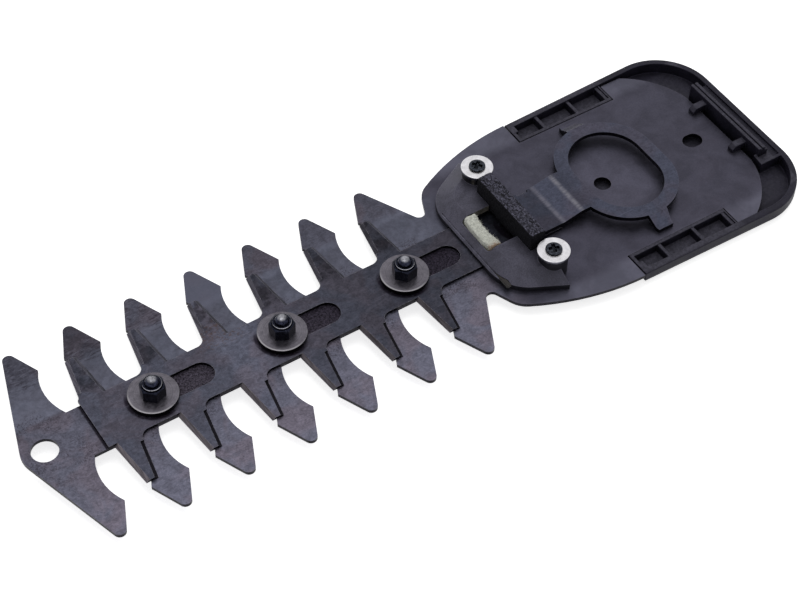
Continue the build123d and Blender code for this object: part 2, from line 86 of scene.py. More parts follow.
class BladeSetSizes(bpy.types.PropertyGroup):
    """Sizes of the details that are made here."""

    # The edge line is partly worn steel and partly a painted highlight.
    edge_line_width: FloatProperty(
        name="Edge wear", description="Width of the worn line along the edges of the steel",
        default=0.00018, min=0.0, max=0.002, subtype="DISTANCE", unit="LENGTH")
    nut_chamfer: FloatProperty(
        name="Nut chamfer", description="How far the nut's corners are turned down at the top",
        default=0.00022, min=0.0, max=0.001, subtype="DISTANCE", unit="LENGTH")
    washer_edge: FloatProperty(
        name="Washer edge", description="Radius of the rounded upper edge of a washer",
        default=0.00016, min=0.00005, max=0.0006, subtype="DISTANCE", unit="LENGTH")
    cell_size: FloatProperty(
        name="Rubber cells", description="Size of the open cells of the rubber block",
        default=0.00055, min=0.0002, max=0.003, subtype="DISTANCE", unit="LENGTH")
    felt_bow: FloatProperty(
        name="Felt bow", description="How far the felt pad bends toward the tip in its middle",
        default=0.0009, min=0.0, max=0.002, subtype="DISTANCE", unit="LENGTH")
    fibre_length: FloatProperty(
        name="Fibre length", description="Length of the loose fibres on the felt",
        default=0.0008, min=0.0001, max=0.003, subtype="DISTANCE", unit="LENGTH")
    fibre_count: IntProperty(
        name="Fibres", description="Number of loose fibres on the felt pad",
        default=1500, min=10, max=5000)


class BladeSetColours(bpy.types.PropertyGroup):
    """Base colours of the finishes."""

    tooth_steel: FloatVectorProperty(
        name="Toothed sheet", description="Blackened steel of the lower toothed sheet",
        default=(0.104, 0.099, 0.130), min=0.0, max=1.0, size=3, subtype="COLOR")
    floor_steel: FloatVectorProperty(
        name="Holder floor", description="The same sheet where it is the holder's floor",
        default=(0.056, 0.054, 0.075), min=0.0, max=1.0, size=3, subtype="COLOR")
    sliding_steel: FloatVectorProperty(
        name="Sliding blade", description="Blackened steel of the sliding blade",
        default=(0.092, 0.091, 0.122), min=0.0, max=1.0, size=3, subtype="COLOR")
    yoke_steel: FloatVectorProperty(
        name="Drive yoke", description="Blackened steel of the arm and its oval ring",
        default=(0.062, 0.063, 0.090), min=0.0, max=1.0, size=3, subtype="COLOR")
    washer_steel: FloatVectorProperty(
        name="Blade washers", description="Turned steel of the large washers",
        default=(0.128, 0.120, 0.140), min=0.0, max=1.0, size=3, subtype="COLOR")
    nut_steel: FloatVectorProperty(
        name="Nuts and bolts", description="Blackened steel of the nuts and bolts",
        default=(0.011, 0.012, 0.020), min=0.0, max=1.0, size=3, subtype="COLOR")
    bright_zinc: FloatVectorProperty(
        name="Bright washers", description="Zinc of the two washers on the housing",
        default=(0.72, 0.71, 0.74), min=0.0, max=1.0, size=3, subtype="COLOR")
    housing_plastic: FloatVectorProperty(
        name="Housing plastic", description="Black plastic of the guide housing",
        default=(0.064, 0.062, 0.084), min=0.0, max=1.0, size=3, subtype="COLOR")
    cover_plastic: FloatVectorProperty(
        name="Cover plastic", description="Black plastic of the bottom cover",
        default=(0.013, 0.012, 0.020), min=0.0, max=1.0, size=3, subtype="COLOR")
    cell_rubber: FloatVectorProperty(
        name="Rubber block", description="Black cellular rubber",
        default=(0.004, 0.004, 0.006), min=0.0, max=1.0, size=3, subtype="COLOR")
    cream_felt: FloatVectorProperty(
        name="Felt pad", description="Cream wool felt of the oil pad",
        default=(0.72, 0.73, 0.66), min=0.0, max=1.0, size=3, subtype="COLOR")
    brown_felt: FloatVectorProperty(
        name="Felt strip", description="Oiled felt of the thin strip",
        default=(0.026, 0.021, 0.020), min=0.0, max=1.0, size=3, subtype="COLOR")


class BladeSetStage(bpy.types.PropertyGroup):
    """Lamps and floor."""

    lamp_power: FloatProperty(
        name="Top lamp", description="Strength of the wide lamp above",
        default=2.6, min=0.0, subtype="POWER")
    glint_power: FloatProperty(
        name="Small lamp", description="Strength of the small lamp that makes the glints on the steel",
        default=0.5, min=0.0, subtype="POWER")
    floor_colour: FloatVectorProperty(
        name="Floor", description="Colour of the pale floor",
        default=(0.90, 0.90, 0.90), min=0.0, max=1.0, size=3, subtype="COLOR")


# Surfaces worked out with numpy

def ripple(points, length, seed, waves=18):
    """Soft unevenness between about -1 and 1: the mean of plane waves of about one length, whose
    directions and phases are strewn by the seed."""
    rng = np.random.default_rng(seed)
    way = rng.normal(size=(waves, 3))
    way /= np.linalg.norm(way, axis=1, keepdims=True)
    way *= (2 * np.pi / length) * rng.uniform(0.6, 1.6, (waves, 1))
    phase = rng.uniform(0, 2 * np.pi, waves)
    return np.sin(points @ way.T + phase).sum(axis=-1) / math.sqrt(waves)


def cell_distance(points, size):
    """Distance from each point to the nearest of the seeds strewn one in each cube of a lattice, in
    cube sides. Each cube's seed comes from the sine of a sum of its three indices."""
    scaled = points / size
    cube = np.floor(scaled)
    nearest = np.full(points.shape[:-1], 9.0)
    for step in np.ndindex(3, 3, 3):
        other = cube + np.array(step) - 1
        total = other @ np.array([[127.1, 269.5, 113.5], [311.7, 183.3, 271.9], [74.7, 246.1, 124.6]])
        spread = np.sin(total) * 4375.85
        seed = other + spread - np.floor(spread)
        nearest = np.minimum(nearest, np.linalg.norm(seed - scaled, axis=-1))
    return nearest


def softened(corners, radii, steps=6):
    """A profile whose corners are arcs: each arc starts and ends at one distance from its corner, on
    the two lines that meet there, and follows the quadratic curve between them."""
    corners = np.array(corners, float)
    rows = []
    share = np.linspace(0, 1, steps)[:, None]
    for k, radius in enumerate(radii):
        here = corners[k]
        if radius == 0:
            rows.append(here[None])
            continue
        before = corners[k - 1]
        after = corners[(k + 1) % len(corners)]
        start = here + (before - here) * radius / np.linalg.norm(before - here)
        end = here + (after - here) * radius / np.linalg.norm(after - here)
        rows.append((1 - share) ** 2 * start + 2 * share * (1 - share) * here + share ** 2 * end)
    return np.concatenate(rows)


def evenly(line, count):
    """Points at even steps along a closed line."""
    ring = np.concatenate([line, line[:1]])
    run = np.concatenate([[0], np.cumsum(np.linalg.norm(np.diff(ring, axis=0), axis=1))])
    steps = np.linspace(0, run[-1], count, endpoint=False)
    return np.stack([np.interp(steps, run, ring[:, k]) for k in range(ring.shape[1])], axis=1)


def grid_mesh(name, points, closed_rows=False):
    """A mesh on a grid of points[row, column], closed round the columns. Point (i, j) is joined to
    (i+1, j) and (i, j+1). A first or last row that lies on one spot becomes a pole. The UV map runs
    round the columns in U, from 0 to 1, and along the rows in V by their length in millimetres."""
    rows, columns = points.shape[:2]
    index = np.arange(rows * columns).reshape(rows, columns)
    poles = []
    if not closed_rows:
        for row in (0, rows - 1):
            if np.ptp(points[row], axis=0).max() < 1e-9:
                index[row] = index[row, 0]
                poles.append(row)
    kept, index = np.unique(index, return_inverse=True)
    index = index.reshape(rows, columns)
    if closed_rows:
        index = np.concatenate([index, index[:1]])
    index = np.concatenate([index, index[:, :1]], axis=1)

    ring = np.concatenate([points, points[:1]]) if closed_rows else points
    run = np.linalg.norm(np.diff(ring, axis=0), axis=-1).mean(axis=1)
    v = np.concatenate([[0], np.cumsum(run)]) / MM
    u = np.linspace(0, 1, columns + 1)
    uv = np.stack(np.meshgrid(v, u, indexing="ij")[::-1], axis=-1)

    corner = [(slice(None, -1), slice(None, -1)), (slice(1, None), slice(None, -1)),
              (slice(1, None), slice(1, None)), (slice(None, -1), slice(1, None))]
    quads = np.stack([index[c] for c in corner], axis=-1)
    quad_uv = np.stack([uv[c] for c in corner], axis=-2)
    faces, face_uv = [], []
    first, last = (0 in poles), (rows - 1 in poles)
    if first:
        faces.append(quads[0][:, [0, 1, 2]])
        face_uv.append(quad_uv[0][:, [0, 1, 2]])
    body = slice(1 if first else 0, -1 if last else None)
    quads_kept = quads[body].reshape(-1, 4)
    uv_kept = quad_uv[body].reshape(-1, 4, 2)
    if last:
        faces.append(quads[-1][:, [0, 1, 3]])
        face_uv.append(quad_uv[-1][:, [0, 1, 3]])

    mesh = bpy.data.meshes.new(name)
    lists = quads_kept.tolist() + [row for part in faces for row in part.tolist()]
    mesh.from_pydata(points.reshape(-1, 3)[kept].tolist(), [], lists)
    flat = np.concatenate([uv_kept.reshape(-1)] + [part.reshape(-1) for part in face_uv])
    mesh.uv_layers.new(name="surface").data.foreach_set("uv", flat)
    return mesh


def turned(name, profile, centre, columns=96, closed_rows=False, reach=None):
    """A turned surface: x = cx + r cos a and y = cy + r sin a, with r and z from the profile's rows.
    reach(r, z, a) may change the radius and the height round the turn."""
    profile = np.array(profile, float)
    angle = np.arange(columns) * 2 * np.pi / columns
    radius = np.repeat(profile[:, :1], columns, axis=1)
    height = np.repeat(profile[:, 1:], columns, axis=1)
    if reach is not None:
        radius, height = reach(radius, height, angle[None, :])
    x = centre[0] + radius * np.cos(angle)
    y = centre[1] + radius * np.sin(angle)
    return grid_mesh(name, np.stack([x, y, height], axis=-1), closed_rows)


def outward(points):
    """Unit normals of a grid closed round its columns, from the cross product of its two slopes."""
    along = np.gradient(points, axis=0)
    round_it = np.roll(points, -1, axis=1) - np.roll(points, 1, axis=1)
    normal = np.cross(round_it, along)
    size = np.linalg.norm(normal, axis=-1, keepdims=True)
    normal = normal / np.maximum(size, 1e-12)
    side = np.sign(((points - points.mean(axis=(0, 1))) * normal).sum())
    return normal * side


def carried_block(low, high, edge, columns, stations, arch=None):
    """A soft-edged block: a round-cornered rectangle in X and Z, carried along Y. Near both ends it
    is drawn in as a quarter circle would, then closed to a point in the middle of the end. arch gives
    the half width and the height of a notch that is left open below."""
    middle = (low + high) / 2
    half = (high - low) / 2
    turn = np.linspace(0, np.pi / 2, 6)
    end_y = half[1] - edge * (1 - np.sin(turn))
    inset_y = edge * (1 - np.cos(turn))
    inner = np.linspace(-half[1] + edge, half[1] - edge, stations)[1:-1]
    if arch is not None:
        lip = np.array([-0.12, -0.04, 0.04, 0.12]) * MM
        inner = np.sort(np.concatenate([inner, arch[0] + lip, -arch[0] + lip]))
    y = np.concatenate([-end_y[::-1], inner, end_y])
    drawn = np.concatenate([inset_y[::-1], np.zeros(len(inner)), inset_y])
    rings = []
    for place, inset in zip(y, drawn):
        floor = low[2]
        if arch is not None:
            jamb = 0.16 * MM
            floor += arch[1] * float(np.clip((arch[0] + jamb / 2 - abs(place)) / jamb, 0, 1))
        rings.append(section(half[0] - inset, floor + inset, high[2] - inset, edge, columns))
    rings = np.array(rings)
    x = middle[0] + rings[..., 0]
    z = rings[..., 1]
    body = np.stack([x, np.repeat((middle[1] + y)[:, None], columns, axis=1), z], axis=-1)
    caps = []
    for ring in (body[0], body[-1]):
        heart = ring.mean(axis=0)
        share = np.linspace(0, 1, 9)[:-1, None, None]
        caps.append(heart + (ring - heart) * share)
    return np.concatenate([caps[0], body, caps[1][::-1]])


def section(half_width, bottom, top, radius, count):
    """Points at even steps round a rectangle with round corners: x about 0, z from bottom to top."""
    radius = min(radius, half_width * 0.9, (top - bottom) * 0.45)
    turn = np.linspace(0, np.pi / 2, 7)
    upper, lower = top - radius, bottom + radius
    parts = []
    for k, (side, z) in enumerate(((1, upper), (-1, upper), (-1, lower), (1, lower))):
        a = turn + k * np.pi / 2
        x = side * (half_width - radius) + radius * np.cos(a)
        parts.append(np.stack([x, z + radius * np.sin(a)], axis=1))
    return evenly(np.concatenate(parts), count)


def bent(points, bow):
    """A bar along Y bent in X: its middle moves by +bow/2 and its ends by -bow/2 along a parabola, and
    it gets a little thinner."""
    low, high = points.min(axis=(0, 1)), points.max(axis=(0, 1))
    middle, half = (low + high) / 2, (high - low) / 2
    along = (points[..., 1] - middle[1]) / half[1]
    thin = 1 - bow / (5 * half[0])
    x = middle[0] + (points[..., 0] - middle[0]) * thin + bow * (0.5 - along ** 2)
    return np.stack([x, points[..., 1], points[..., 2]], axis=-1)


def smooth_step(value, low, high):
    """0 below low, 1 above high, and the curve 3t^2 - 2t^3 between them."""
    t = np.clip((value - low) / (high - low), 0, 1)
    return t * t * (3 - 2 * t)


# Putting pieces into the scene

def add_piece(name, mesh, material, node, sharp=35.0):
    """A finished piece that stands for one CAD node, whose object it hides, and rides on its body."""
    shell = bmesh.new()
    shell.from_mesh(mesh)
    bmesh.ops.recalc_face_normals(shell, faces=shell.faces)
    shell.to_mesh(mesh)
    shell.free()
    mesh.shade_smooth()
    mesh.set_sharp_from_angle(angle=math.radians(sharp))
    mesh.materials.append(material)
    piece = bpy.data.objects.new(name, mesh)
    bpy.context.scene.collection.objects.link(piece)
    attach(piece, HOLDER)
    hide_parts(node)
    return piece


def add_turned(name, profile, material, node, sharp=35.0, **turning):
    """A turned piece on the axis of the round node that it stands for."""
    return add_piece(name, turned(name, profile, node_axis(node), **turning), material, node, sharp)


def repaint(node, material):
    """Gives a CAD node's object one new material in all its slots."""
    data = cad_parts[node].data
    if not data.materials:
        data.materials.append(material)
    for k in range(len(data.materials)):
        data.materials[k] = material


def node_span(node):
    """A node's lowest and highest corner as arrays."""
    low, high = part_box(node)
    return np.array(low), np.array(high)


def node_axis(node):
    """The x and y of the middle of a round node."""
    low, high = node_span(node)
    return ((low + high) / 2)[:2]


def node_radius(node):
    """Half the width of a round node."""
    low, high = node_span(node)
    return (high[0] - low[0]) / 2


def ring_profile(node, hole, radii, steps=6):
    """Profile of a flat ring, with radii for its corners: the lower one at the hole, the lower and
    the upper one outside, and the upper one at the hole."""
    low, high = node_span(node)
    outer = node_radius(node)
    return softened([(hole, low[2]), (outer, low[2]), (outer, high[2]), (hole, high[2])], radii, steps)


# Finishes

class Finish:
    """A material under construction: nodes are added one after another and joined as they come."""

    def __init__(self, name, colour, metallic, roughness, specular=0.5):
        self.material = bpy.data.materials.new(name)
        self.material.use_nodes = True
        self.material.diffuse_color = (*colour, 1.0)
        self.tree = self.material.node_tree
        self.shader = self.tree.nodes["Principled BSDF"]
        self.shader.inputs["Base Color"].default_value = (*colour, 1.0)
        self.shader.inputs["Metallic"].default_value = metallic
        self.shader.inputs["Roughness"].default_value = roughness
        self.shader.inputs["Specular IOR Level"].default_value = specular
        self.where = self.add("ShaderNodeTexCoord", {})
        self.mm = self.scaled((1000, 1000, 1000))
        self.normal = None

    def add(self, kind, inputs, **settings):
        """One node, whose inputs are numbers or the outputs of earlier nodes."""
        node = self.tree.nodes.new(kind)
        for key, value in settings.items():
            setattr(node, key, value)
        for key, value in inputs.items():
            if isinstance(value, bpy.types.NodeSocket):
                self.tree.links.new(value, node.inputs[key])
            else:
                node.inputs[key].default_value = value
        return node

    def scaled(self, scale, turn=(0, 0, 0), source="Object"):
        """Object coordinates, or the UV map, scaled and turned."""
        inputs = {"Vector": self.where.outputs[source], "Scale": scale, "Rotation": turn}
        return self.add("ShaderNodeMapping", inputs).outputs["Vector"]

    def noise(self, vector, scale, detail=3.0, roughness=0.5, distortion=0.0):
        """Cloudy noise between 0 and 1, mostly near 0.5."""
        inputs = {"Vector": vector, "Scale": scale, "Detail": detail, "Roughness": roughness,
                  "Distortion": distortion}
        return self.add("ShaderNodeTexNoise", inputs).outputs["Fac"]

    def drawn(self, scale, turn, detail, roughness, distortion=0.0):
        """Noise drawn out into strokes, with a scale along each axis, turned about Z."""
        return self.noise(self.scaled(scale, (0, 0, turn)), 1.0, detail, roughness, distortion)

    def cells(self, scale):
        """Distance from the middle of the nearest of many strewn cells."""
        return self.add("ShaderNodeTexVoronoi", {"Vector": self.mm, "Scale": scale}).outputs["Distance"]

    def band(self, value, low, high, to_low=0.0, to_high=1.0):
        """A value's range low to high carried smoothly to another range, and held outside it."""
        inputs = {"Value": value, "From Min": low, "From Max": high, "To Min": to_low, "To Max": to_high}
        return self.add("ShaderNodeMapRange", inputs, interpolation_type="SMOOTHSTEP").outputs["Result"]

    def maths(self, operation, first, second=0.0):
        """One step of arithmetic on one or two values."""
        return self.add("ShaderNodeMath", {0: first, 1: second}, operation=operation).outputs[0]

    def times(self, *values):
        """The product of several values."""
        product = values[0]
        for value in values[1:]:
            product = self.maths("MULTIPLY", product, value)
        return product

    def near(self, value, centre, outside, inside):
        """1 where a value is nearer to a centre than inside, and 0 where it is farther than outside."""
        distance = self.maths("ABSOLUTE", self.maths("SUBTRACT", value, centre))
        return self.band(distance, outside, inside)

    def mix(self, share, first, second, blend="MIX"):
        """Two colours mixed by a share."""
        node = self.add("ShaderNodeMix", {}, data_type="RGBA", blend_type=blend)
        for key, value in (("Factor_Float", share), ("A_Color", first), ("B_Color", second)):
            socket = next(s for s in node.inputs if s.identifier == key)
            if isinstance(value, bpy.types.NodeSocket):
                self.tree.links.new(value, socket)
            elif key == "Factor_Float":
                socket.default_value = value
            else:
                socket.default_value = (*value[:3], 1.0)
        return next(s for s in node.outputs if s.identifier == "Result_Color")

    def laid(self, tone, colour, *shares):
        """A tone with a colour laid over it, as strongly as the product of the shares."""
        return self.mix(self.times(*shares), tone, colour)

    def shade(self, colour, factor):
        """A colour times a grey value."""
        grey = self.add("ShaderNodeCombineColor", {"Red": factor, "Green": factor, "Blue": factor})
        return self.mix(1.0, colour, grey.outputs["Color"], "MULTIPLY")

    def varied(self, colour, value, low, high, factor_low, factor_high):
        """A colour times a factor, which goes from one to the other while a value goes from low to high."""
        return self.shade(colour, self.band(value, low, high, factor_low, factor_high))

    def axis(self, letter):
        """One coordinate in millimetres."""
        return self.add("ShaderNodeSeparateXYZ", {"Vector": self.mm}).outputs[letter]

    def facing(self, letter):
        """How far the surface faces along an axis, from -1 to 1."""
        normal = self.where.outputs["Normal"]
        return self.add("ShaderNodeSeparateXYZ", {"Vector": normal}).outputs[letter]

    def facing_up(self):
        """1 on level faces that look up or down, 0 on walls."""
        return self.band(self.maths("ABSOLUTE", self.facing("Z")), 0.35, 0.75)

    def bumped(self, height, strength, distance):
        """Lets a height in 0 to 1 raise the surface by a distance in metres."""
        inputs = {"Height": height, "Strength": strength, "Distance": distance}
        if self.normal is not None:
            inputs["Normal"] = self.normal
        self.normal = self.add("ShaderNodeBump", inputs).outputs["Normal"]

    def edge_mask(self, width):
        """1 along edges and 0 on faces, from the turn of the normal within a width."""
        soft = self.add("ShaderNodeBevel", {"Radius": width}, samples=4).outputs["Normal"]
        flat = self.add("ShaderNodeNewGeometry", {}).outputs["True Normal"]
        turn = self.add("ShaderNodeVectorMath", {0: soft, 1: flat}, operation="DOT_PRODUCT").outputs["Value"]
        if self.normal is None:
            self.normal = soft
        return self.band(turn, 0.995, 0.9)

    def hollows(self, reach):
        """1 in the open and less in corners and under overhangs."""
        return self.add("ShaderNodeAmbientOcclusion", {"Distance": reach}, samples=4).outputs["AO"]

    def done(self, colour, roughness=None):
        """Joins the colour, the roughness and the bumps to the shader, and gives the material."""
        self.tree.links.new(colour, self.shader.inputs["Base Color"])
        if roughness is not None:
            self.tree.links.new(roughness, self.shader.inputs["Roughness"])
        if self.normal is not None:
            self.tree.links.new(self.normal, self.shader.inputs["Normal"])
        return self.material


def toned(colour, factor):
    """A plain colour times a factor, held to 1."""
    return [min(1.0, c * factor) for c in colour]


def burnished(finish, colour, turn, grain=0.15, cloud=0.2):
    """Blackened rolled steel: faint bluish and brownish areas, clouds, fine pitted grain, short
    strokes along one direction, dark specks and a few pale hairlines. Gives colour and roughness."""
    area = finish.noise(finish.mm, 0.10, 3.0, 0.55, 0.6)
    cool = [c * f for c, f in zip(colour, (0.95, 1.00, 1.02))]
    warm = [c * f for c, f in zip(colour, (1.05, 0.99, 0.97))]
    tone = finish.mix(finish.band(area, 0.40, 0.60), warm, cool)
    clouds = finish.noise(finish.mm, 0.42, 6.0, 0.68, 0.8)
    tone = finish.varied(tone, clouds, 0.34, 0.66, 1 - cloud, 1 + cloud)
    pits = finish.noise(finish.mm, 1.7, 5.0, 0.72, 0.3)
    tone = finish.varied(tone, pits, 0.36, 0.64, 1 - grain, 1 + grain)
    strokes = finish.drawn((420, 1900, 1000), turn, 4.0, 0.65, 1.0)
    tone = finish.varied(tone, strokes, 0.35, 0.65, 0.91, 1.09)
    specks = finish.band(finish.noise(finish.mm, 2.1, 3.0, 0.6), 0.63, 0.70)
    tone = finish.laid(tone, toned(colour, 0.35), specks, 0.6)
    hairs = finish.band(finish.drawn((90, 3000, 1000), turn + 0.5, 2.0, 0.5, 0.4), 0.69, 0.75)
    tone = finish.laid(tone, toned(colour, 2.0), hairs, 0.35)
    cloud_rough = finish.band(clouds, 0.2, 0.8, 0.34, 0.5)
    rough = finish.maths("ADD", cloud_rough, finish.band(pits, 0.2, 0.8, -0.05, 0.08))
    finish.bumped(pits, 0.25, 0.00005)
    finish.bumped(clouds, 0.25, 0.0001)
    return tone, rough


def edge_line(finish, tone, bright, low, high):
    """A thin broken bright line where the upper faces meet their edges: partly worn steel and partly a
    painted highlight.
    """
    broken = finish.band(finish.noise(finish.mm, 1.5, 4.0, 0.6), 0.42, 0.60, low, high)
    edges = finish.edge_mask(bpy.context.scene.blade_set_sizes.edge_line_width)
    return finish.laid(tone, bright, edges, finish.facing_up(), broken)


def round_bolt(finish):
    """The distance in mm from the nearest of the three bolts, and how far a point lies on the side of
    it toward the tip and +Y, from -1 to 1."""
    first = node_axis("blade_bolt_1")[0] / MM
    second = node_axis("blade_bolt_2")[0] / MM
    pitch = abs(second - first)
    across = finish.maths("ADD", finish.axis("X"), pitch / 2 - first)
    forward = finish.maths("SUBTRACT", finish.maths("FLOORED_MODULO", across, pitch), pitch / 2)
    y = finish.axis("Y")
    away = finish.maths("SQRT", finish.maths("ADD", finish.times(forward, forward), finish.times(y, y)))
    toward = finish.maths("ADD", finish.times(forward, 0.75), finish.times(y, 0.66))
    return away, finish.maths("DIVIDE", toward, finish.maths("MAXIMUM", away, 0.1))


def shaded_walls(finish, tone, dark):
    """The walls of a sheet are painted darker, as shade, and streaked upright."""
    streaks = finish.drawn((1800, 1800, 220), 0.0, 3.0, 0.6)
    return finish.mix(finish.facing_up(), finish.varied(dark, streaks, 0.3, 0.7, 0.5, 1.6), tone)


def rubbed_teeth(finish, tone, x, y):
    """The far teeth, at negative y: bluish rubbed shanks, heads painted paler as light as far as x 129 mm,
    one of them bluish, a nose painted paler as light, and short diagonal grinding strokes on the heads past
    x 122 mm."""
    shanks = finish.times(finish.band(y, -21.5, -19.5), finish.band(y, -7.5, -9.0))
    rubbed = finish.varied((0.098, 0.103, 0.138), y, -24.0, -6.0, 0.72, 1.12)
    rubbed = finish.varied(rubbed, finish.noise(finish.mm, 0.5, 6.0, 0.7), 0.34, 0.66, 0.8, 1.2)
    tone = finish.laid(tone, rubbed, shanks, 0.75)
    heads = finish.band(y, -17.0, -20.0)
    # Painted light: the far heads up to x 129 mm are made paler.
    pale_heads = finish.times(heads, finish.band(x, 137.0, 129.0))
    tone = finish.varied(tone, pale_heads, 0.0, 1.0, 1.0, 1.42)
    tone = finish.laid(tone, (0.098, 0.102, 0.140), heads, finish.near(x, 108.0, 9.0, 6.0), 0.7)
    # Painted light: the nose is made paler.
    nose = finish.times(finish.band(x, 147.0, 156.0), finish.band(y, 14.0, -4.0))
    tone = finish.varied(tone, nose, 0.0, 1.0, 1.0, 1.17)
    patches = finish.band(finish.noise(finish.mm, 0.085, 1.0, 0.5), 0.36, 0.50)
    ground = finish.times(heads, finish.band(x, 116.0, 122.0), patches)
    strokes = finish.drawn((380, 1500, 1000), 0.9, 4.0, 0.65, 0.7)
    tone = finish.laid(tone, (0.030, 0.026, 0.036), ground, finish.band(strokes, 0.54, 0.62), 0.8)
    return finish.laid(tone, (0.130, 0.128, 0.165), ground, finish.band(strokes, 0.45, 0.38), 0.45)


def dirt_and_shadow(finish, tone, x, side, grit, in_slot):
    """Dirt and painted shadow on the toothed sheet: crusts round the tooth roots, a painted shadow line
    before the sliding blade's front edge, and grit in the guide slots."""
    near_root = finish.times(finish.band(side, 15.0, 9.5), finish.band(x, 44.0, 50.0))
    crusts = finish.times(near_root, finish.band(finish.noise(finish.mm, 0.16, 3.0, 0.6), 0.46, 0.58))
    tone = finish.laid(tone, (0.036, 0.032, 0.042), crusts, finish.band(grit, 0.48, 0.58), 0.75)
    # Painted shadow: a dark line on the sheet just ahead of the sliding blade's front edge.
    front = node_span("moving_blade")[1][0] / MM
    ahead = finish.band(x, front + 0.85, front + 0.45)
    line = finish.times(ahead, finish.band(x, front - 0.4, front - 0.2), finish.band(side, 12.5, 11.0))
    tone = finish.laid(tone, (0.011, 0.009, 0.014), line, finish.band(grit, 0.34, 0.48, 0.6, 0.92))
    slot_tone = finish.mix(finish.band(x, 60.0, 140.0), (0.019, 0.016, 0.024), (0.040, 0.035, 0.047))
    return finish.mix(in_slot, tone, finish.varied(slot_tone, grit, 0.36, 0.66, 0.25, 2.4))


def holder_floor(finish, tone, colour, x, side, grit):
    """The toothed sheet between the cover's walls: darker and smoother, paler round the crank's hole
    and on the flange at each side."""
    worn = finish.noise(finish.mm, 0.13, 5.0, 0.62, 0.4)
    plain = finish.varied(colour, worn, 0.34, 0.66, 0.84, 1.14)
    plain = finish.varied(plain, grit, 0.36, 0.64, 0.92, 1.08)
    ring_centre = (-4.1, 0.0, 0.0)
    ring = finish.add("ShaderNodeVectorMath", {0: finish.mm, 1: ring_centre}, operation="DISTANCE")
    plain = finish.varied(plain, ring.outputs["Value"], 13.0, 9.0, 1.0, 1.32)
    flange = finish.times(finish.band(side, 23.0, 27.0), finish.band(x, 44.0, 34.0))
    flange_tone = finish.varied((0.098, 0.097, 0.130), worn, 0.34, 0.66, 0.85, 1.15)
    plain = finish.laid(plain, flange_tone, flange, 0.9)
    return finish.laid(tone, plain, finish.band(x, 50.0, 38.0), 0.95)


def toothed_sheet_steel():
    """The lower sheet: violet grey, painted paler toward +Y and darker toward -Y as light and shade, with
    rubbed and ground teeth, grime in the guide slots and round the roots, a painted shadow before the
    sliding blade's front edge, and a smoother floor in the holder."""
    colours = bpy.context.scene.blade_set_colours
    finish = Finish("blackened_tooth_steel", colours.tooth_steel, 1.0, 0.42)
    tone, rough = burnished(finish, colours.tooth_steel, 0.5)
    x = finish.axis("X")
    y = finish.axis("Y")
    side = finish.maths("ABSOLUTE", y)
    grit = finish.noise(finish.mm, 2.0, 6.0, 0.75, 0.5)
    between_ends = finish.times(finish.band(x, 43.0, 45.0), finish.band(x, 143.0, 141.0))
    in_slot = finish.times(finish.band(side, 4.3, 3.9), between_ends)
    # Painted light and shade: darker toward -Y, paler toward +Y.
    tone = finish.varied(tone, y, -34.0, 36.0, 0.46, 1.36)
    tone = rubbed_teeth(finish, tone, x, y)
    tone = dirt_and_shadow(finish, tone, x, side, grit, in_slot)
    tone = holder_floor(finish, tone, colours.floor_steel, x, side, grit)
    tone = shaded_walls(finish, tone, (0.011, 0.010, 0.014))
    tone = edge_line(finish, tone, (0.20, 0.19, 0.22), 0.05, 0.55)
    finish.bumped(finish.times(grit, in_slot), 0.8, 0.0003)
    return finish.done(tone, rough)


def ground_bevels(finish, tone, x, y, upright, lines):
    """Bevels of the sliding blade, with fine lines along Y: brown grey where they face the tip, painted
    darker toward the holder as shade;
    where they face back, grey on the far side and painted nearly black as shade on the near one."""
    slanted = finish.times(finish.band(upright, 0.99, 0.93), finish.band(upright, 0.30, 0.45))
    near_side = finish.band(y, -8.0, 8.0)
    front = finish.mix(near_side, (0.080, 0.076, 0.096), (0.112, 0.100, 0.112))
    front = finish.varied(front, lines, 0.32, 0.68, 0.6, 1.4)
    # Painted shade: the front bevels are darker toward the holder.
    front = finish.varied(front, x, 64.0, 140.0, 0.48, 1.0)
    # Painted shade: the back bevels on the near side are nearly black.
    back = finish.mix(near_side, (0.066, 0.065, 0.084), (0.009, 0.008, 0.012))
    back = finish.varied(back, lines, 0.32, 0.68, 0.5, 1.7)
    ground = finish.mix(finish.band(finish.facing("X"), -0.1, 0.1), back, front)
    return finish.mix(slanted, tone, ground)


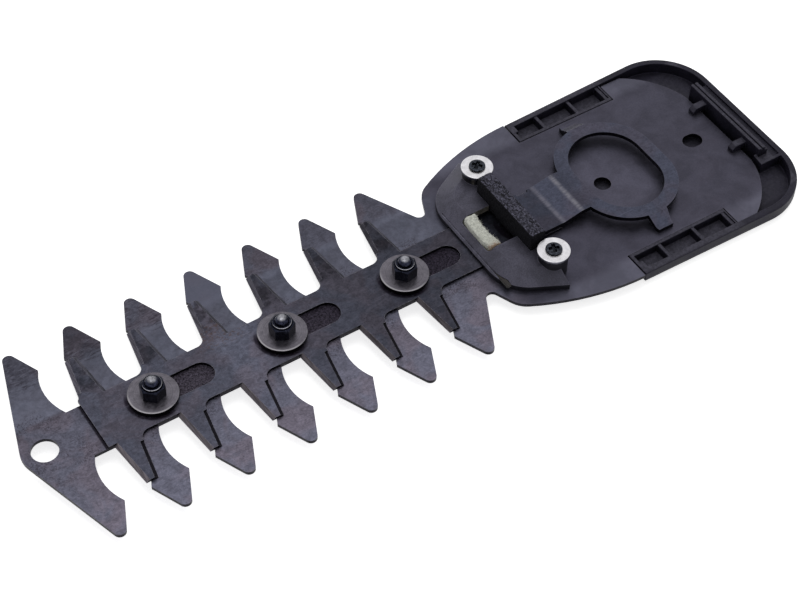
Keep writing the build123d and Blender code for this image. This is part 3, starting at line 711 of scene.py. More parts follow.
def sliding_blade_steel():
    """The upper blade: painted darker toward the holder and along its far side as shade, paler between two
    bolts, with ground bevels, walls painted black as shade, a rusty patch at one tooth's root, and a greasy
    stain with painted shadow beside each washer."""
    colours = bpy.context.scene.blade_set_colours
    finish = Finish("blackened_sliding_steel", colours.sliding_steel, 1.0, 0.42)
    tone, rough = burnished(finish, colours.sliding_steel, 0.25)
    x = finish.axis("X")
    y = finish.axis("Y")
    upright = finish.maths("ABSOLUTE", finish.facing("Z"))
    lines = finish.drawn((2200, 160, 1000), 0.0, 4.0, 0.65)
    paler = finish.band(finish.near(x, 108.5, 9.0, 3.0), 0.0, 1.0, 1.0, 1.4)
    # Painted shade: darker toward the holder; paler between two bolts.
    tone = finish.shade(tone, finish.times(finish.band(x, 55.0, 120.0, 0.43, 0.70), paler))
    # Painted shade: darker along the far side.
    tone = finish.varied(tone, y, -11.0, -8.0, 0.78, 1.0)
    blotches = finish.band(finish.noise(finish.mm, 0.28, 5.0, 0.65, 0.6), 0.42, 0.60)
    far_blotches = finish.times(blotches, finish.band(y, -8.0, -11.0))
    tone = finish.varied(tone, far_blotches, 0.0, 1.0, 1.12, 0.6)
    tone = ground_bevels(finish, tone, x, y, upright, lines)
    patch = finish.times(finish.near(x, 112.0, 9.0, 3.0), finish.near(y, -9.0, 6.0, 2.0))
    rust = finish.band(finish.noise(finish.mm, 1.1, 4.0, 0.6), 0.48, 0.62)
    tone = finish.laid(tone, (0.075, 0.045, 0.034), patch, rust, 0.5)
    # Painted shade: the walls are made nearly black.
    wall = finish.maths("LESS_THAN", upright, 0.25)
    tone = finish.mix(wall, tone, finish.varied((0.006, 0.005, 0.008), lines, 0.32, 0.68, 0.4, 2.0))
    # Grease and painted shadow: a dark crescent beside each washer, on its side toward the tip and +Y.
    away, toward = round_bolt(finish)
    smears = finish.band(finish.noise(finish.mm, 0.8, 5.0, 0.7), 0.34, 0.5, 0.4, 0.9)
    grease_and_shadow = finish.times(finish.band(away, 7.5, 6.9), finish.band(toward, 0.0, 0.55), smears)
    tone = finish.laid(tone, (0.012, 0.009, 0.015), grease_and_shadow, finish.band(upright, 0.9, 0.98))
    tone = edge_line(finish, tone, (0.26, 0.25, 0.28), 0.15, 0.9)
    return finish.done(tone, rough)


def yoke_steel():
    """The pressed yoke: dark low arm, paler ramp and ring, and a pale painted highlight along each bend, the
    rear one the brighter."""
    colours = bpy.context.scene.blade_set_colours
    finish = Finish("blackened_yoke_steel", colours.yoke_steel, 1.0, 0.40)
    tone, rough = burnished(finish, colours.yoke_steel, 0.4, 0.14, 0.12)
    x = finish.axis("X")
    tone = finish.varied(tone, x, 6.0, 11.0, 1.0, 0.80)
    tone = finish.varied(tone, x, 17.2, 18.8, 1.0, 0.68)
    tone = finish.varied(tone, x, 12.0, 12.8, 1.0, 1.25)
    rubbed = finish.drawn((260, 1500, 1000), 0.0, 4.0, 0.65)
    # Painted highlight: a pale broken line along each bend.
    for bend_x, share, pale in ((18.1, 0.95, (0.135, 0.132, 0.165)), (12.3, 1.0, (0.165, 0.162, 0.190))):
        broken = finish.band(rubbed, 0.34, 0.62, 0.3 * share, share)
        tone = finish.laid(tone, pale, finish.near(x, bend_x, 1.1, 0.05), broken)
    tone = shaded_walls(finish, tone, (0.009, 0.008, 0.012))
    tone = edge_line(finish, tone, (0.16, 0.16, 0.19), 0.1, 0.6)
    return finish.done(tone, rough)


def moulded_plastic(name, colour, rim_share, specular):
    """Black moulded plastic with the fine spark-eroded grain of its mould, satin sheen, faint cloudy
    marks, painted shade in the corners, and edges painted a little lighter, partly as polish and partly as a
    painted highlight."""
    finish = Finish(name, colour, 0.0, 0.46, specular)
    finish.shader.inputs["Specular Tint"].default_value = (0.86, 0.85, 1.0, 1.0)
    wear_and_highlight = finish.edge_mask(0.0004)
    grain = finish.noise(finish.mm, 3.2, 4.0, 0.7)
    cloud = finish.noise(finish.mm, 0.16, 5.0, 0.62, 0.5)
    tone = finish.varied(colour, cloud, 0.34, 0.66, 0.78, 1.25)
    tone = finish.varied(tone, grain, 0.34, 0.66, 0.8, 1.22)
    hairs = finish.band(finish.drawn((70, 2600, 900), 0.8, 2.0, 0.5, 0.5), 0.70, 0.78)
    tone = finish.laid(tone, toned(colour, 2.6), hairs, 0.3)
    # Painted shade: darker in corners and under overhangs.
    tone = finish.varied(tone, finish.hollows(0.004), 0.2, 0.9, 0.35, 1.0)
    # Edges a little lighter: partly polish, partly a painted highlight.
    rubbed = finish.band(cloud, 0.36, 0.60, 0.3 * rim_share, rim_share)
    tone = finish.laid(tone, toned(colour, 3.4), wear_and_highlight, rubbed)
    finish.bumped(grain, 0.3, 0.00008)
    return finish, tone, finish.band(cloud, 0.3, 0.7, 0.40, 0.54)


def housing_plastic():
    """The guide housing: blue black with walls painted darker as shade, and painted light on its window's
    far wall."""
    colours = bpy.context.scene.blade_set_colours
    finish, tone, rough = moulded_plastic("satin_housing_plastic", colours.housing_plastic, 0.75, 0.22)
    x = finish.axis("X")
    # Painted shade: the walls are made much darker than the level faces.
    level = finish.band(finish.maths("ABSOLUTE", finish.facing("Z")), 0.2, 0.6)
    tone = finish.varied(tone, level, 0.0, 1.0, 0.12, 1.0)
    # Painted light: the window's far wall, facing +Y, is made pale grey brown.
    window = finish.times(finish.band(x, 31.5, 32.0), finish.band(x, 38.0, 37.5))
    far_end = finish.band(finish.axis("Y"), -4.0, -5.0)
    lit_far_wall = finish.times(finish.band(finish.facing("Y"), 0.5, 0.8), far_end)
    far_wall_mottle = finish.noise(finish.mm, 1.3, 4.0, 0.65)
    greyed = finish.varied((0.135, 0.125, 0.108), far_wall_mottle, 0.35, 0.65, 0.6, 1.5)
    return finish.done(finish.laid(tone, greyed, window, lit_far_wall), rough)


def cover_plastic():
    """The bottom cover: deep black walls, painted paler as light where it faces up, most of all in and round
    the side pockets, and dark again on the rim behind them."""
    colours = bpy.context.scene.blade_set_colours
    finish, tone, rough = moulded_plastic("satin_cover_plastic", colours.cover_plastic, 0.8, 0.13)
    x = finish.axis("X")
    side = finish.maths("ABSOLUTE", finish.axis("Y"))
    raised = finish.band(finish.axis("Z"), -0.3, 0.3, 0.35, 0.85)
    paler = finish.maths("MAXIMUM", raised, finish.band(x, -24.0, -21.0, 0.0, 0.85))
    side_rim = finish.times(finish.band(side, 26.5, 28.0), finish.band(x, -20.0, -24.0))
    rear_rim = finish.maths("MAXIMUM", side_rim, finish.band(x, -44.4, -45.4))
    darker = finish.band(rear_rim, 0.0, 1.0, 1.0, 0.25)
    scuffs = finish.noise(finish.mm, 1.1, 5.0, 0.72)
    scuffed_and_lit = finish.varied((0.054, 0.052, 0.069), scuffs, 0.36, 0.66, 0.7, 1.35)
    # Painted light: faces that look up get a paler scuffed colour.
    tone = finish.laid(tone, scuffed_and_lit, finish.band(finish.facing("Z"), 0.5, 0.9), paler, darker)
    return finish.done(tone, rough)


def turned_steel(name, colour, wall, bright, highlit_rim=None):
    """Turned and blackened steel: fine rings from the tool, mottled oxide, walls painted black as shade, and
    the edge between them made bright, partly worn and partly a painted highlight. highlit_rim is the radius
    in mm of a rim that gets a painted highlight in an arc toward the tip and +Y."""
    roughness = 0.34
    finish = Finish(name, colour, 1.0, roughness)
    rings = finish.noise(finish.scaled((0.6, 7.0, 1.0), source="UV"), 1.0, 4.0, 0.65)
    cloud = finish.noise(finish.mm, 0.5, 5.0, 0.65, 0.6)
    pits = finish.noise(finish.mm, 2.0, 4.0, 0.7)
    tone = finish.varied(colour, rings, 0.34, 0.66, 0.84, 1.16)
    tone = finish.varied(tone, cloud, 0.34, 0.66, 0.84, 1.14)
    tone = finish.varied(tone, pits, 0.36, 0.64, 0.9, 1.1)
    upward = finish.facing("Z")
    # Painted shade: the walls get the dark wall colour.
    tone = finish.mix(finish.band(upward, 0.25, 0.5), wall, tone)
    # Worn edge and painted highlight: the turned edge between wall and top is made bright.
    turned_edge = finish.times(finish.band(upward, 0.35, 0.6), finish.band(upward, 0.97, 0.85))
    tone = finish.laid(tone, bright, turned_edge, finish.band(cloud, 0.36, 0.6, 0.4, 0.95))
    # Painted highlight: an arc on the rim toward the tip and +Y.
    if highlit_rim:
        away, toward = round_bolt(finish)
        arc = finish.times(finish.band(away, highlit_rim - 0.55, highlit_rim - 0.2), finish.band(toward, 0.1, 0.8))
        tone = finish.laid(tone, bright, arc, finish.band(upward, 0.3, 0.5))
    finish.bumped(rings, 0.3, 0.00004)
    return finish.done(tone, finish.band(cloud, 0.3, 0.7, roughness - 0.05, roughness + 0.08))


def nut_finish():
    """Blackened nut: nearly black mottled flats with bluish patches painted as glints, and a painted
    highlight on the turned edge of the round collar only, brightest toward +Y."""
    colours = bpy.context.scene.blade_set_colours
    finish = Finish("blackened_nut_steel", colours.nut_steel, 1.0, 0.30)
    cloud = finish.noise(finish.mm, 0.9, 5.0, 0.68, 0.8)
    fine = finish.noise(finish.mm, 2.6, 4.0, 0.7, 0.4)
    tone = finish.varied(colours.nut_steel, fine, 0.34, 0.66, 0.5, 1.6)
    # Painted glints: bluish patches on the flats.
    tone = finish.mix(finish.band(cloud, 0.55, 0.68, 0.0, 0.45), tone, (0.050, 0.056, 0.085))
    upward = finish.facing("Z")
    # Painted highlight: the collar's turned edge, brightest toward +Y.
    top = node_span("blade_nut_1")[1][2] / MM
    collar = finish.band(finish.axis("Z"), top - 0.28, top - 0.16)
    edge = finish.times(collar, finish.band(upward, 0.98, 0.85), finish.band(upward, 0.1, 0.35))
    edge = finish.times(edge, finish.band(finish.facing("Y"), -0.3, 0.25, 0.15, 1.0))
    tone = finish.laid(tone, (0.42, 0.42, 0.46), edge, finish.band(cloud, 0.38, 0.56, 0.5, 1.0))
    finish.bumped(fine, 0.35, 0.00008)
    return finish.done(tone, finish.band(cloud, 0.3, 0.7, 0.24, 0.42))


def bolt_finish():
    """Bolt end: dark blue black, with a painted highlight only on the very top of its dome."""
    colours = bpy.context.scene.blade_set_colours
    finish = Finish("blackened_bolt_steel", colours.nut_steel, 1.0, 0.30)
    cloud = finish.noise(finish.mm, 1.1, 5.0, 0.68, 0.8)
    tone = finish.varied(toned(colours.nut_steel, 1.6), cloud, 0.34, 0.66, 0.5, 1.9)
    # Painted highlight: the very top of the dome is made bright.
    dome_highlight = finish.band(finish.axis("Z"), 7.25, 7.68)
    tone = finish.laid(tone, (0.36, 0.36, 0.39), dome_highlight, finish.band(cloud, 0.34, 0.62, 0.45, 1.0))
    finish.bumped(cloud, 0.35, 0.00008)
    return finish.done(tone, finish.band(cloud, 0.3, 0.7, 0.24, 0.40))


def zinc_finish():
    """Bright zinc: pale, softly mottled, with faint rings, and walls painted grey as shade."""
    colours = bpy.context.scene.blade_set_colours
    finish = Finish("bright_zinc", colours.bright_zinc, 1.0, 0.32)
    rings = finish.noise(finish.scaled((0.8, 7.0, 1.0), source="UV"), 1.0, 4.0, 0.65)
    cloud = finish.noise(finish.mm, 0.7, 5.0, 0.65, 0.4)
    tone = finish.varied(colours.bright_zinc, cloud, 0.34, 0.66, 0.88, 1.08)
    tone = finish.varied(tone, rings, 0.34, 0.66, 0.92, 1.06)
    # Painted shade: the walls are made grey.
    tone = finish.mix(finish.band(finish.facing("Z"), 0.35, 0.85), (0.17, 0.17, 0.20), tone)
    finish.bumped(rings, 0.25, 0.00004)
    return finish.done(tone, finish.band(cloud, 0.3, 0.7, 0.26, 0.42))


def screw_finish():
    """Black oxide with pale scuffs on the crown; the recess is painted black as shade."""
    base = (0.030, 0.033, 0.042)
    finish = Finish("black_oxide", base, 1.0, 0.36)
    cloud = finish.noise(finish.mm, 1.5, 5.0, 0.7, 0.8)
    tone = finish.varied(base, cloud, 0.34, 0.66, 0.4, 1.9)
    scuffs = finish.band(finish.noise(finish.mm, 2.2, 4.0, 0.7), 0.55, 0.66, 0.0, 0.6)
    tone = finish.mix(scuffs, tone, (0.13, 0.14, 0.17))
    # Painted shade: the recess and other hollows are made black.
    crown = finish.band(finish.hollows(0.0012), 0.68, 0.94)
    tone = finish.mix(crown, (0.002, 0.002, 0.003), tone)
    finish.bumped(cloud, 0.4, 0.0001)
    return finish.done(tone, finish.band(cloud, 0.3, 0.7, 0.28, 0.5))


def felt_finish(name, colour, stain, stain_low, stain_high):
    """Wool felt: drawn-out fibres over a cloudy matting, and an oily stain that comes in along Y
    between two places."""
    finish = Finish(name, colour, 0.0, 0.92, 0.2)
    finish.shader.inputs["Sheen Weight"].default_value = 0.25
    finish.shader.inputs["Sheen Roughness"].default_value = 0.6
    fibres = finish.noise(finish.scaled((2600, 700, 1800), (0.3, 0.2, 0.5)), 1.0, 4.0, 0.65, 1.8)
    matted = finish.noise(finish.mm, 1.0, 6.0, 0.68, 1.0)
    tone = finish.varied(colour, fibres, 0.3, 0.7, 0.74, 1.14)
    tone = finish.varied(tone, matted, 0.34, 0.66, 0.78, 1.1)
    edge = finish.maths("ADD", finish.axis("Y"), finish.band(matted, 0.2, 0.8, -1.4, 1.4))
    tone = finish.mix(finish.band(edge, stain_low, stain_high, 0.0, 0.85), tone, stain)
    finish.bumped(fibres, 0.7, 0.00025)
    return finish.done(tone)


def rubber_finish():
    """Cellular rubber: matt black sides with open cells darkened as painted shade, and a top painted paler
    as light and rubbed grey in grains.
    """
    colours = bpy.context.scene.blade_set_colours
    finish = Finish("cellular_rubber", colours.cell_rubber, 0.0, 0.85, 0.12)
    cells = finish.cells(1.9)
    fine = finish.noise(finish.mm, 2.6, 5.0, 0.72)
    scuffs = finish.drawn((1700, 950, 1300), 0.5, 5.0, 0.7, 1.2)
    side = finish.varied(colours.cell_rubber, fine, 0.34, 0.66, 0.5, 1.6)
    # Painted light: the top gets a paler scuffed grey.
    lit_scuffed_top = finish.varied((0.046, 0.045, 0.062), scuffs, 0.40, 0.62, 0.12, 2.3)
    lit_scuffed_top = finish.varied(lit_scuffed_top, fine, 0.36, 0.64, 0.6, 1.5)
    tone = finish.mix(finish.band(finish.facing("Z"), 0.45, 0.85), side, lit_scuffed_top)
    # Painted shade: darker inside the cells.
    tone = finish.varied(tone, cells, 0.08, 0.4, 0.4, 1.0)
    finish.bumped(cells, 0.7, 0.0003)
    finish.bumped(scuffs, 0.6, 0.00025)
    return finish.done(tone, finish.band(scuffs, 0.3, 0.7, 0.7, 0.95))


def fibre_finish():
    """Single wool fibres of the felt, stained toward +Y as the pad is."""
    colours = bpy.context.scene.blade_set_colours
    finish = Finish("wool_fibre", colours.cream_felt, 0.0, 0.85, 0.3)
    shade = finish.noise(finish.mm, 1.3, 2.0, 0.5)
    tone = finish.varied(toned(colours.cream_felt, 1.1), shade, 0.3, 0.7, 0.8, 1.15)
    tone = finish.mix(finish.band(finish.axis("Y"), 4.2, 6.0, 0.0, 0.85), tone, OIL_STAIN)
    return finish.done(tone, finish.band(shade, 0.3, 0.7, 0.75, 0.95))


# One operator for each piece or group of like pieces

class BLADESET_OT_sheets(bpy.types.Operator):
    """Finish the toothed sheet, the sliding blade and the drive yoke"""
    bl_idname = "bladeset.sheets"
    bl_label = "Sheet steel"

    def execute(self, context):
        repaint("fixed_blade", toothed_sheet_steel())
        repaint("moving_blade", sliding_blade_steel())
        repaint("drive_yoke", yoke_steel())
        return {"FINISHED"}


class BLADESET_OT_mouldings(bpy.types.Operator):
    """Finish the guide housing and the bottom cover"""
    bl_idname = "bladeset.mouldings"
    bl_label = "Plastic mouldings"

    def execute(self, context):
        repaint("guide_housing", housing_plastic())
        repaint("bottom_cover", cover_plastic())
        return {"FINISHED"}


class BLADESET_OT_bushes(bpy.types.Operator):
    """Make the three guide bushes in the slots"""
    bl_idname = "bladeset.bushes"
    bl_label = "Guide bushes"

    def execute(self, context):
        material = turned_steel(
            "turned_bush_steel", (0.10, 0.10, 0.12), (0.02, 0.02, 0.025), (0.2, 0.2, 0.22))
        for k in (1, 2, 3):
            node = f"slot_bush_{k}"
            profile = ring_profile(node, BOLT_HOLE, [0.08 * MM, 0.12 * MM, 0.12 * MM, 0.08 * MM])
            add_turned(f"guide_bush_{k}", profile, material, node, closed_rows=True)
        return {"FINISHED"}


class BLADESET_OT_blade_washers(bpy.types.Operator):
    """Make the three large washers on the sliding blade"""
    bl_idname = "bladeset.blade_washers"
    bl_label = "Blade washers"

    def execute(self, context):
        edge = context.scene.blade_set_sizes.washer_edge
        colour = context.scene.blade_set_colours.washer_steel
        material = turned_steel("turned_washer_steel", colour, (0.007, 0.006, 0.008), (0.30, 0.29, 0.31),
                                highlit_rim=node_radius("blade_washer_1") / MM)
        dish = 0.03 * MM
        for k in (1, 2, 3):
            node = f"blade_washer_{k}"
            low, high = node_span(node)
            outer = node_radius(node)
            middle = (outer + BOLT_HOLE) / 2
            corners = [(BOLT_HOLE, low[2]), (outer, low[2]), (outer, high[2]), (middle, high[2] - dish),
                       (BOLT_HOLE, high[2] - dish)]
            profile = softened(corners, [0.1 * MM, edge / 2, edge, 0.6 * MM, 0.1 * MM], 8)
            add_turned(f"broad_washer_{k}", profile, material, node, columns=128, closed_rows=True)
        return {"FINISHED"}


def nut_reach(apothem, collar, base, crown, chamfer, turn):
    """Radius of a nut round the turn. Its flats lie at r = apothem / cos(angle from the flat's middle),
    cut by a cone of 32 degrees at the top and at the bottom. The rows of the hole and of the collar
    keep their own radius."""
    rise = math.tan(math.radians(32))

    def reach(radius, height, angle):
        beside = np.mod(angle + turn + np.pi / 6, np.pi / 3) - np.pi / 6
        flat = apothem / np.cos(beside) * np.ones_like(radius)
        corner = apothem / math.cos(math.pi / 6)
        upper = apothem - chamfer + (crown - height) / rise
        lower = corner - chamfer + (height - base) / rise
        body = np.minimum(np.minimum(flat, upper), lower)
        return np.where(radius > collar + 1e-7, body, radius), height
    return reach


class BLADESET_OT_nuts(bpy.types.Operator):
    """Make the three hexagon nuts with their round collars"""
    bl_idname = "bladeset.nuts"
    bl_label = "Collar nuts"

    def execute(self, context):
        chamfer = context.scene.blade_set_sizes.nut_chamfer
        material = nut_finish()
        collar = 2.45 * MM
        collar_height = 0.5 * MM
        outside_collar = 3.4 * MM
        for k, turn in ((1, 0.35), (2, 0.0), (3, 0.2)):
            node = f"blade_nut_{k}"
            low, high = node_span(node)
            apothem = (high[1] - low[1]) / 2
            base, crown, top = low[2], high[2] - collar_height, high[2]
            flank = np.concatenate([
                np.linspace(base, base + 0.5 * MM, 8),
                np.linspace(base + 0.6 * MM, crown - 0.9 * MM, 6),
                np.linspace(crown - 0.8 * MM, crown, 14)])
            profile = [(BOLT_HOLE, base + 0.15 * MM), (BOLT_HOLE + 0.15 * MM, base), (collar, base)]
            profile += [(outside_collar, z) for z in flank]
            ring = softened([(collar, crown), (collar, top), (BOLT_HOLE, top), (BOLT_HOLE, base + 0.3 * MM)],
                            [0.06 * MM, 0.2 * MM, 0.12 * MM, 0.0])
            add_turned(f"collar_nut_{k}", np.concatenate([np.array(profile), ring]), material, node,
                       sharp=28.0, columns=144, closed_rows=True,
                       reach=nut_reach(apothem, collar, base, crown, chamfer, turn))
        return {"FINISHED"}


class BLADESET_OT_bolts(bpy.types.Operator):
    """Make the three bolts with flat heads below and domed ends above"""
    bl_idname = "bladeset.bolts"
    bl_label = "Blade bolts"

    def execute(self, context):
        material = bolt_finish()
        shank = 1.75 * MM
        dome_height = 1.35 * MM
        sheet_below = -1.0 * MM
        for k in (1, 2, 3):
            node = f"blade_bolt_{k}"
            low, high = node_span(node)
            head = node_radius(node)
            turn = np.linspace(0, np.pi / 2, 18)
            dome = np.stack([shank * np.cos(turn), high[2] - dome_height * (1 - np.sin(turn))], axis=1)
            dome[-1, 0] = 0
            under = softened([(0, low[2]), (head, low[2]), (head, sheet_below), (shank, sheet_below)],
                             [0, 0.65 * MM, 0.1 * MM, 0], 10)
            shaft_z = np.linspace(sheet_below, dome[0, 1], 22)[1:-1]
            shaft = np.stack([np.full(20, shank), shaft_z], axis=1)
            add_turned(f"domed_bolt_{k}", np.concatenate([under, shaft, dome]), material, node, columns=72)
        return {"FINISHED"}


class BLADESET_OT_housing_washers(bpy.types.Operator):
    """Make the two bright washers on the housing's posts"""
    bl_idname = "bladeset.housing_washers"
    bl_label = "Bright washers"

    def execute(self, context):
        material = zinc_finish()
        hole = 1.55 * MM
        for k in (1, 2):
            node = f"housing_washer_{k}"
            profile = ring_profile(node, hole, [0.05 * MM, 0.1 * MM, 0.25 * MM, 0.15 * MM], 8)
            add_turned(f"zinc_washer_{k}", profile, material, node, columns=112, closed_rows=True)
        return {"FINISHED"}


def cross_recess(width, length, depth, seat, turn):
    """Sinks a screw's crown by a cross: two soft-walled bars at right angles, deepest where they meet,
    with rounded corners between the wings."""
    def reach(radius, height, angle):
        x = radius * np.cos(angle + turn)
        y = radius * np.sin(angle + turn)
        bars = []
        for a, b in ((x, y), (y, x)):
            side = 1 - smooth_step(np.abs(a), width * 0.42, width * 0.75)
            end = 1 - smooth_step(np.abs(b), length * 0.40, length * 0.52)
            bars.append(side * end)
        wing = np.maximum(bars[0], bars[1])
        heart = 1 - smooth_step(np.hypot(x, y), width * 0.5, width * 1.3)
        sink = depth * np.clip(0.85 * wing + 0.35 * heart, 0, 1.1) * (height > seat)
        return radius, height - sink
    return reach


class BLADESET_OT_screws(bpy.types.Operator):
    """Make the two cross-recess screws"""
    bl_idname = "bladeset.screws"
    bl_label = "Cross-recess screws"

    def execute(self, context):
        material = screw_finish()
        shank = 1.45 * MM
        head_height = 0.8 * MM
        for k, turn in ((1, 0.35), (2, 0.9)):
            node = f"housing_screw_{k}"
            low, high = node_span(node)
            head = node_radius(node)
            crown_radius = head - 0.45 * MM
            crown_drop = 0.12 * MM
            seat = high[2] - head_height
            point_top = low[2] + 0.7 * MM
            share = np.linspace(0, 1, 40)[:, None]
            crown = np.concatenate([share * crown_radius, high[2] - crown_drop * share ** 2], axis=1)
            side = softened([(crown_radius, high[2] - crown_drop), (head, high[2] - 0.25 * MM), (head, seat),
                             (shank, seat)], [0, 0.25 * MM, 0.08 * MM, 0], 8)[1:]
            shaft = np.stack([np.full(8, shank), np.linspace(seat, point_top, 10)[1:-1]], axis=1)
            point = np.array([(shank, point_top), (shank / 2, low[2]), (0, low[2])])
            add_turned(f"cross_screw_{k}", np.concatenate([crown, side, shaft, point]), material, node,
                       columns=128, reach=cross_recess(0.7 * MM, 2.9 * MM, 0.62 * MM, seat + 0.3 * MM, turn))
        return {"FINISHED"}


def strewn_fibres(name, points, normals, count, length, seed):
    """Loose fibres strewn over a grid's upper points: each is a curved three-sided thread of five
    rings that starts under the surface, leans over in a strewn direction and tapers to both ends.
    Ring k lies at root + length * (t * lean + curl * t^2), with t from 0 to 1."""
    rng = np.random.default_rng(seed)
    flat, up = points.reshape(-1, 3), normals.reshape(-1, 3)
    seen = np.flatnonzero(up[:, 2] > -0.2)
    pick = rng.choice(seen, count)
    root = flat[pick] - up[pick] * 0.06 * MM
    lean = up[pick] * rng.uniform(0.15, 0.8, (count, 1)) + rng.normal(0, 0.55, (count, 3))
    lean /= np.linalg.norm(lean, axis=1, keepdims=True)
    curl = rng.normal(0, 0.45, (count, 3)) - up[pick] * 0.25
    size = length * rng.uniform(0.4, 1.0, (count, 1, 1))
    t = np.linspace(0, 1, 5)[None, :, None]
    line = root[:, None] + size * (t * lean[:, None] + t ** 2 * curl[:, None])
    width = 0.022 * MM * np.array([0.25, 1.0, 0.9, 0.7, 0.15])[None, :, None, None]
    side = np.cross(lean, curl)
    side /= np.linalg.norm(side, axis=1, keepdims=True)
    other = np.cross(lean, side)
    turn = np.arange(3) * 2 * np.pi / 3
    ring = (np.cos(turn)[None, None, :, None] * side[:, None, None]
            + np.sin(turn)[None, None, :, None] * other[:, None, None])
    verts = line[:, :, None] + width * ring
    base = (np.arange(count) * 15)[:, None, None]
    row = (np.arange(4) * 3)[None, :, None]
    here, after = np.arange(3)[None, None], ((np.arange(3) + 1) % 3)[None, None]
    walls = np.broadcast_arrays(base + row + here, base + row + after,
                                base + row + 3 + after, base + row + 3 + here)
    quads = np.stack(walls, axis=-1).reshape(-1, 4)
    start = (np.arange(count) * 15)[:, None]
    caps = np.concatenate([start + np.array([[2, 1, 0]]), start + np.array([[12, 13, 14]])])
    mesh = bpy.data.meshes.new(name)
    mesh.from_pydata(verts.reshape(-1, 3).tolist(), [], quads.tolist() + caps.tolist())
    return mesh


class BLADESET_OT_felts(bpy.types.Operator):
    """Make the cream felt pad with its loose fibres, and the thin oiled strip"""
    bl_idname = "bladeset.felts"
    bl_label = "Felts"

    def execute(self, context):
        sizes = context.scene.blade_set_sizes
        colours = context.scene.blade_set_colours
        low, high = node_span("oil_felt")
        inset = 0.08 * MM
        points = bent(carried_block(low + inset, high - inset, 0.75 * MM, 132, 150), sizes.felt_bow)
        normals = outward(points)
        lumps = 0.075 * ripple(points, 2.6 * MM, 5) + 0.05 * ripple(points, 0.7 * MM, 6)
        lumps += 0.03 * ripple(points, 0.3 * MM, 7)
        points = points + normals * np.clip(lumps, -0.3, 0.07)[..., None] * MM
        points = np.clip(points, low, high)
        points[0], points[-1] = points[0].mean(axis=0), points[-1].mean(axis=0)
        cream = felt_finish("cream_wool_felt", colours.cream_felt, OIL_STAIN, 4.6, 6.4)
        pad = add_piece("felt_pad", grid_mesh("felt_pad", points), cream, "oil_felt", 80.0)
        fibres = strewn_fibres("felt_fibres", points, normals, sizes.fibre_count, sizes.fibre_length, 11)
        limited = np.empty(len(fibres.vertices) * 3)
        fibres.vertices.foreach_get("co", limited)
        most = high + np.array([0.1, 0.1, 0.35]) * MM
        limited = np.clip(limited.reshape(-1, 3), low - 0.05 * MM, most)
        fibres.vertices.foreach_set("co", limited.reshape(-1))
        add_piece("felt_fibres", fibres, fibre_finish(), "oil_felt", 80.0)

        low, high = node_span("wiper_felt")
        points = carried_block(low, high, 0.18 * MM, 60, 260)
        normals = outward(points)
        lumps = 0.03 * ripple(points, 1.2 * MM, 21) + 0.02 * ripple(points, 0.4 * MM, 22)
        points = points + normals * np.clip(lumps, -0.12, 0.0)[..., None] * MM
        points[0], points[-1] = points[0].mean(axis=0), points[-1].mean(axis=0)
        oiled = felt_finish("oiled_wool_felt", colours.brown_felt, (0.03, 0.025, 0.025), 16.0, 18.0)
        strip = add_piece("felt_strip", grid_mesh("felt_strip", points), oiled, "wiper_felt", 80.0)
        return {"FINISHED"}


class BLADESET_OT_rubber_block(bpy.types.Operator):
    """Make the upright block of cellular rubber with its open cells"""
    bl_idname = "bladeset.rubber_block"
    bl_label = "Rubber block"

    def execute(self, context):
        size = context.scene.blade_set_sizes.cell_size
        low, high = node_span("seal_block")
        arch = (8.05 * MM, 2.35 * MM)
        points = carried_block(low, high, 0.35 * MM, 200, 230, arch)
        normals = outward(points)
        pits = 1 - smooth_step(cell_distance(points, size * 1.6), 0.18, 0.5)
        depth = 0.10 * pits * (ripple(points, 2.5 * MM, 31) > -0.2)
        depth += 0.04 * (1 + ripple(points, 3.0 * MM, 32))
        points = points - normals * np.clip(depth, 0, 0.3)[..., None] * MM
        points = np.clip(points, low, high)
        points[0], points[-1] = points[0].mean(axis=0), points[-1].mean(axis=0)
        mesh = grid_mesh("cellular_block", points)
        block = add_piece("cellular_block", mesh, rubber_finish(), "seal_block", 80.0)
        return {"FINISHED"}


# Stage

def soft_lamp(name, place, aim, width, depth, power):
    """A wide lamp that looks from its place at a point."""
    data = bpy.data.lights.new(name, "AREA")
    data.shape = "RECTANGLE"
    data.size, data.size_y = width, depth
    data.energy = power
    lamp = bpy.data.objects.new(name, data)
    bpy.context.scene.collection.objects.link(lamp)
    lamp.location = place
    lamp.rotation_mode = "QUATERNION"
    lamp.rotation_quaternion = (Vector(aim) - Vector(place)).to_track_quat("-Z", "Y")
    return lamp


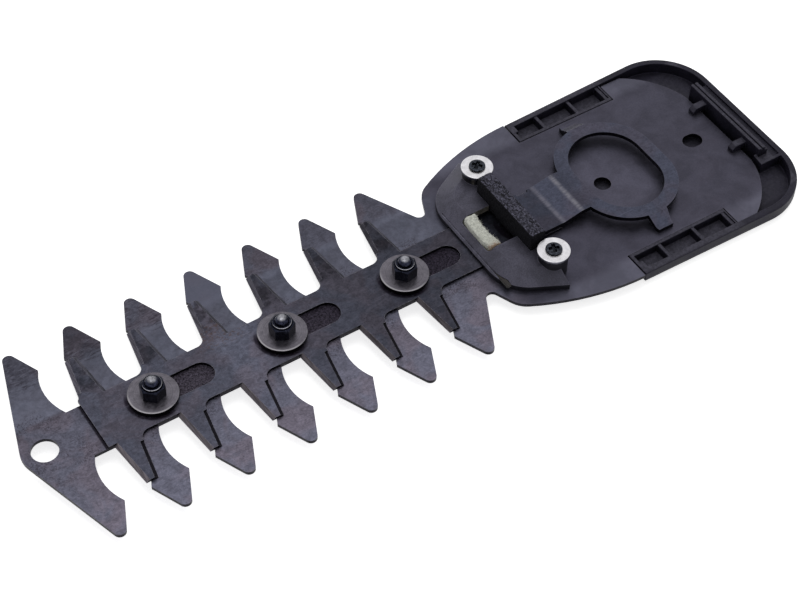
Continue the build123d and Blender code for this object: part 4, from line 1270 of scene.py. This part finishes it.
class BLADESET_OT_stage(bpy.types.Operator):
    """Make the pale floor, the lamps, the world and the camera"""
    bl_idname = "bladeset.stage"
    bl_label = "Stage"

    def execute(self, context):
        scene = context.scene
        stage = scene.blade_set_stage
        low, high = cad_bounds
        self.floor(stage.floor_colour, low.z)
        middle = (low + high) / 2
        above = middle + Vector((-0.25, -0.35, 0.75))
        lamp = soft_lamp("top_lamp", above, middle, 0.9, 0.7, stage.lamp_power)
        lamp.visible_glossy = False
        beside = middle + Vector((0.10, -0.10, 0.80))
        soft_lamp("small_lamp", beside, middle, 0.25, 0.25, stage.glint_power)
        self.world(scene)
        self.camera(scene)
        scene.view_settings.view_transform = "Standard"
        return {"FINISHED"}

    def floor(self, colour, height):
        """A large level sheet just under the object. It shows as almost white, and takes the shadow."""
        half_size = 3.0
        gap = 0.02 * MM
        glow_strength = 0.72
        mesh = bpy.data.meshes.new("pale_floor")
        corners = np.array([(-1, -1, 0), (1, -1, 0), (1, 1, 0), (-1, 1, 0)], float) * half_size
        corners[:, 2] = height - gap
        mesh.from_pydata(corners.tolist(), [], [(0, 1, 2, 3)])
        floor = bpy.data.objects.new("pale_floor", mesh)
        bpy.context.scene.collection.objects.link(floor)
        finish = Finish("pale_floor", colour, 0.0, 0.8, 0.1)
        speck = finish.noise(finish.mm, 0.4, 3.0, 0.6)
        finish.done(finish.varied(colour, speck, 0.2, 0.8, 0.99, 1.0))
        tree = finish.tree
        rays = finish.add("ShaderNodeLightPath", {}).outputs
        seen = finish.maths("MAXIMUM", rays["Is Glossy Ray"], rays["Is Transmission Ray"])
        seen = finish.maths("MAXIMUM", rays["Is Camera Ray"], seen)
        strength = finish.times(seen, glow_strength)
        glow = finish.add("ShaderNodeEmission", {"Color": (1, 1, 1, 1), "Strength": strength})
        shaders = {0: finish.shader.outputs["BSDF"], 1: glow.outputs["Emission"]}
        both = finish.add("ShaderNodeAddShader", shaders)
        tree.links.new(both.outputs["Shader"], tree.nodes["Material Output"].inputs["Surface"])
        mesh.materials.append(finish.material)

    def world(self, scene):
        """White to the camera, to gloss and through glass, and a dim even light for the rest."""
        even_light = 0.42
        world = bpy.data.worlds.new("studio")
        world.use_nodes = True
        tree = world.node_tree
        back = tree.nodes["Background"]
        rays = tree.nodes.new("ShaderNodeLightPath")
        seen = tree.nodes.new("ShaderNodeMath")
        seen.operation = "MAXIMUM"
        gloss = tree.nodes.new("ShaderNodeMath")
        gloss.operation = "MAXIMUM"
        tree.links.new(rays.outputs["Is Glossy Ray"], gloss.inputs[0])
        tree.links.new(rays.outputs["Is Transmission Ray"], gloss.inputs[1])
        tree.links.new(rays.outputs["Is Camera Ray"], seen.inputs[0])
        tree.links.new(gloss.outputs[0], seen.inputs[1])
        level = tree.nodes.new("ShaderNodeMapRange")
        level.inputs["To Min"].default_value = even_light
        level.inputs["To Max"].default_value = 1.0
        tree.links.new(seen.outputs[0], level.inputs["Value"])
        tree.links.new(level.outputs["Result"], back.inputs["Strength"])
        back.inputs["Color"].default_value = (1, 1, 1, 1)
        scene.world = world

    def camera(self, scene):
        """The camera looks from its place at its aim, turned about its line of sight by the roll."""
        place = Vector((0.24797, 0.27138, 0.37935))
        aim = Vector((0.067619, 0.005461, 0.0))
        roll = math.radians(1.573)
        data = bpy.data.cameras.new("photo_camera")
        data.sensor_width = 36.0
        data.lens = 88.875
        data.clip_start = 0.01
        data.clip_end = 10.0
        camera = bpy.data.objects.new("photo_camera", data)
        scene.collection.objects.link(camera)
        look = (aim - place).normalized()
        right = look.cross(Vector((0, 0, 1))).normalized()
        up = right.cross(look)
        tilted_right = right * math.cos(roll) + up * math.sin(roll)
        tilted_up = up * math.cos(roll) - right * math.sin(roll)
        turn = Matrix((tilted_right, tilted_up, -look)).transposed()
        camera.matrix_world = Matrix.Translation(place) @ turn.to_4x4()
        scene.camera = camera


class BLADESET_PT_panel(bpy.types.Panel):
    """Lists the steps that build the blade set"""
    bl_label = "Blade set"
    bl_idname = "BLADESET_PT_panel"
    bl_space_type = "VIEW_3D"
    bl_region_type = "UI"
    bl_category = "Blade set"

    def draw(self, context):
        layout = self.layout
        scene = context.scene
        for group in (scene.blade_set_sizes, scene.blade_set_colours, scene.blade_set_stage):
            box = layout.box()
            for key in group.__annotations__:
                box.prop(group, key)
        for step in steps:
            layout.operator(step.bl_idname)


steps = (
    BLADESET_OT_stage,
    BLADESET_OT_sheets,
    BLADESET_OT_mouldings,
    BLADESET_OT_bushes,
    BLADESET_OT_blade_washers,
    BLADESET_OT_nuts,
    BLADESET_OT_bolts,
    BLADESET_OT_housing_washers,
    BLADESET_OT_screws,
    BLADESET_OT_felts,
    BLADESET_OT_rubber_block,
)
classes = (BladeSetSizes, BladeSetColours, BladeSetStage, *steps, BLADESET_PT_panel)


def register():
    for cls in classes:
        bpy.utils.register_class(cls)
    bpy.types.Scene.blade_set_sizes = PointerProperty(type=BladeSetSizes)
    bpy.types.Scene.blade_set_colours = PointerProperty(type=BladeSetColours)
    bpy.types.Scene.blade_set_stage = PointerProperty(type=BladeSetStage)


def unregister():
    del bpy.types.Scene.blade_set_stage
    del bpy.types.Scene.blade_set_colours
    del bpy.types.Scene.blade_set_sizes
    for cls in reversed(classes):
        bpy.utils.unregister_class(cls)


def main():
    """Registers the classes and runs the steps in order."""
    register()
    bpy.ops.bladeset.stage()
    bpy.ops.bladeset.sheets()
    bpy.ops.bladeset.mouldings()
    bpy.ops.bladeset.bushes()
    bpy.ops.bladeset.blade_washers()
    bpy.ops.bladeset.nuts()
    bpy.ops.bladeset.bolts()
    bpy.ops.bladeset.housing_washers()
    bpy.ops.bladeset.screws()
    bpy.ops.bladeset.felts()
    bpy.ops.bladeset.rubber_block()


if __name__ == "__main__":
    main()
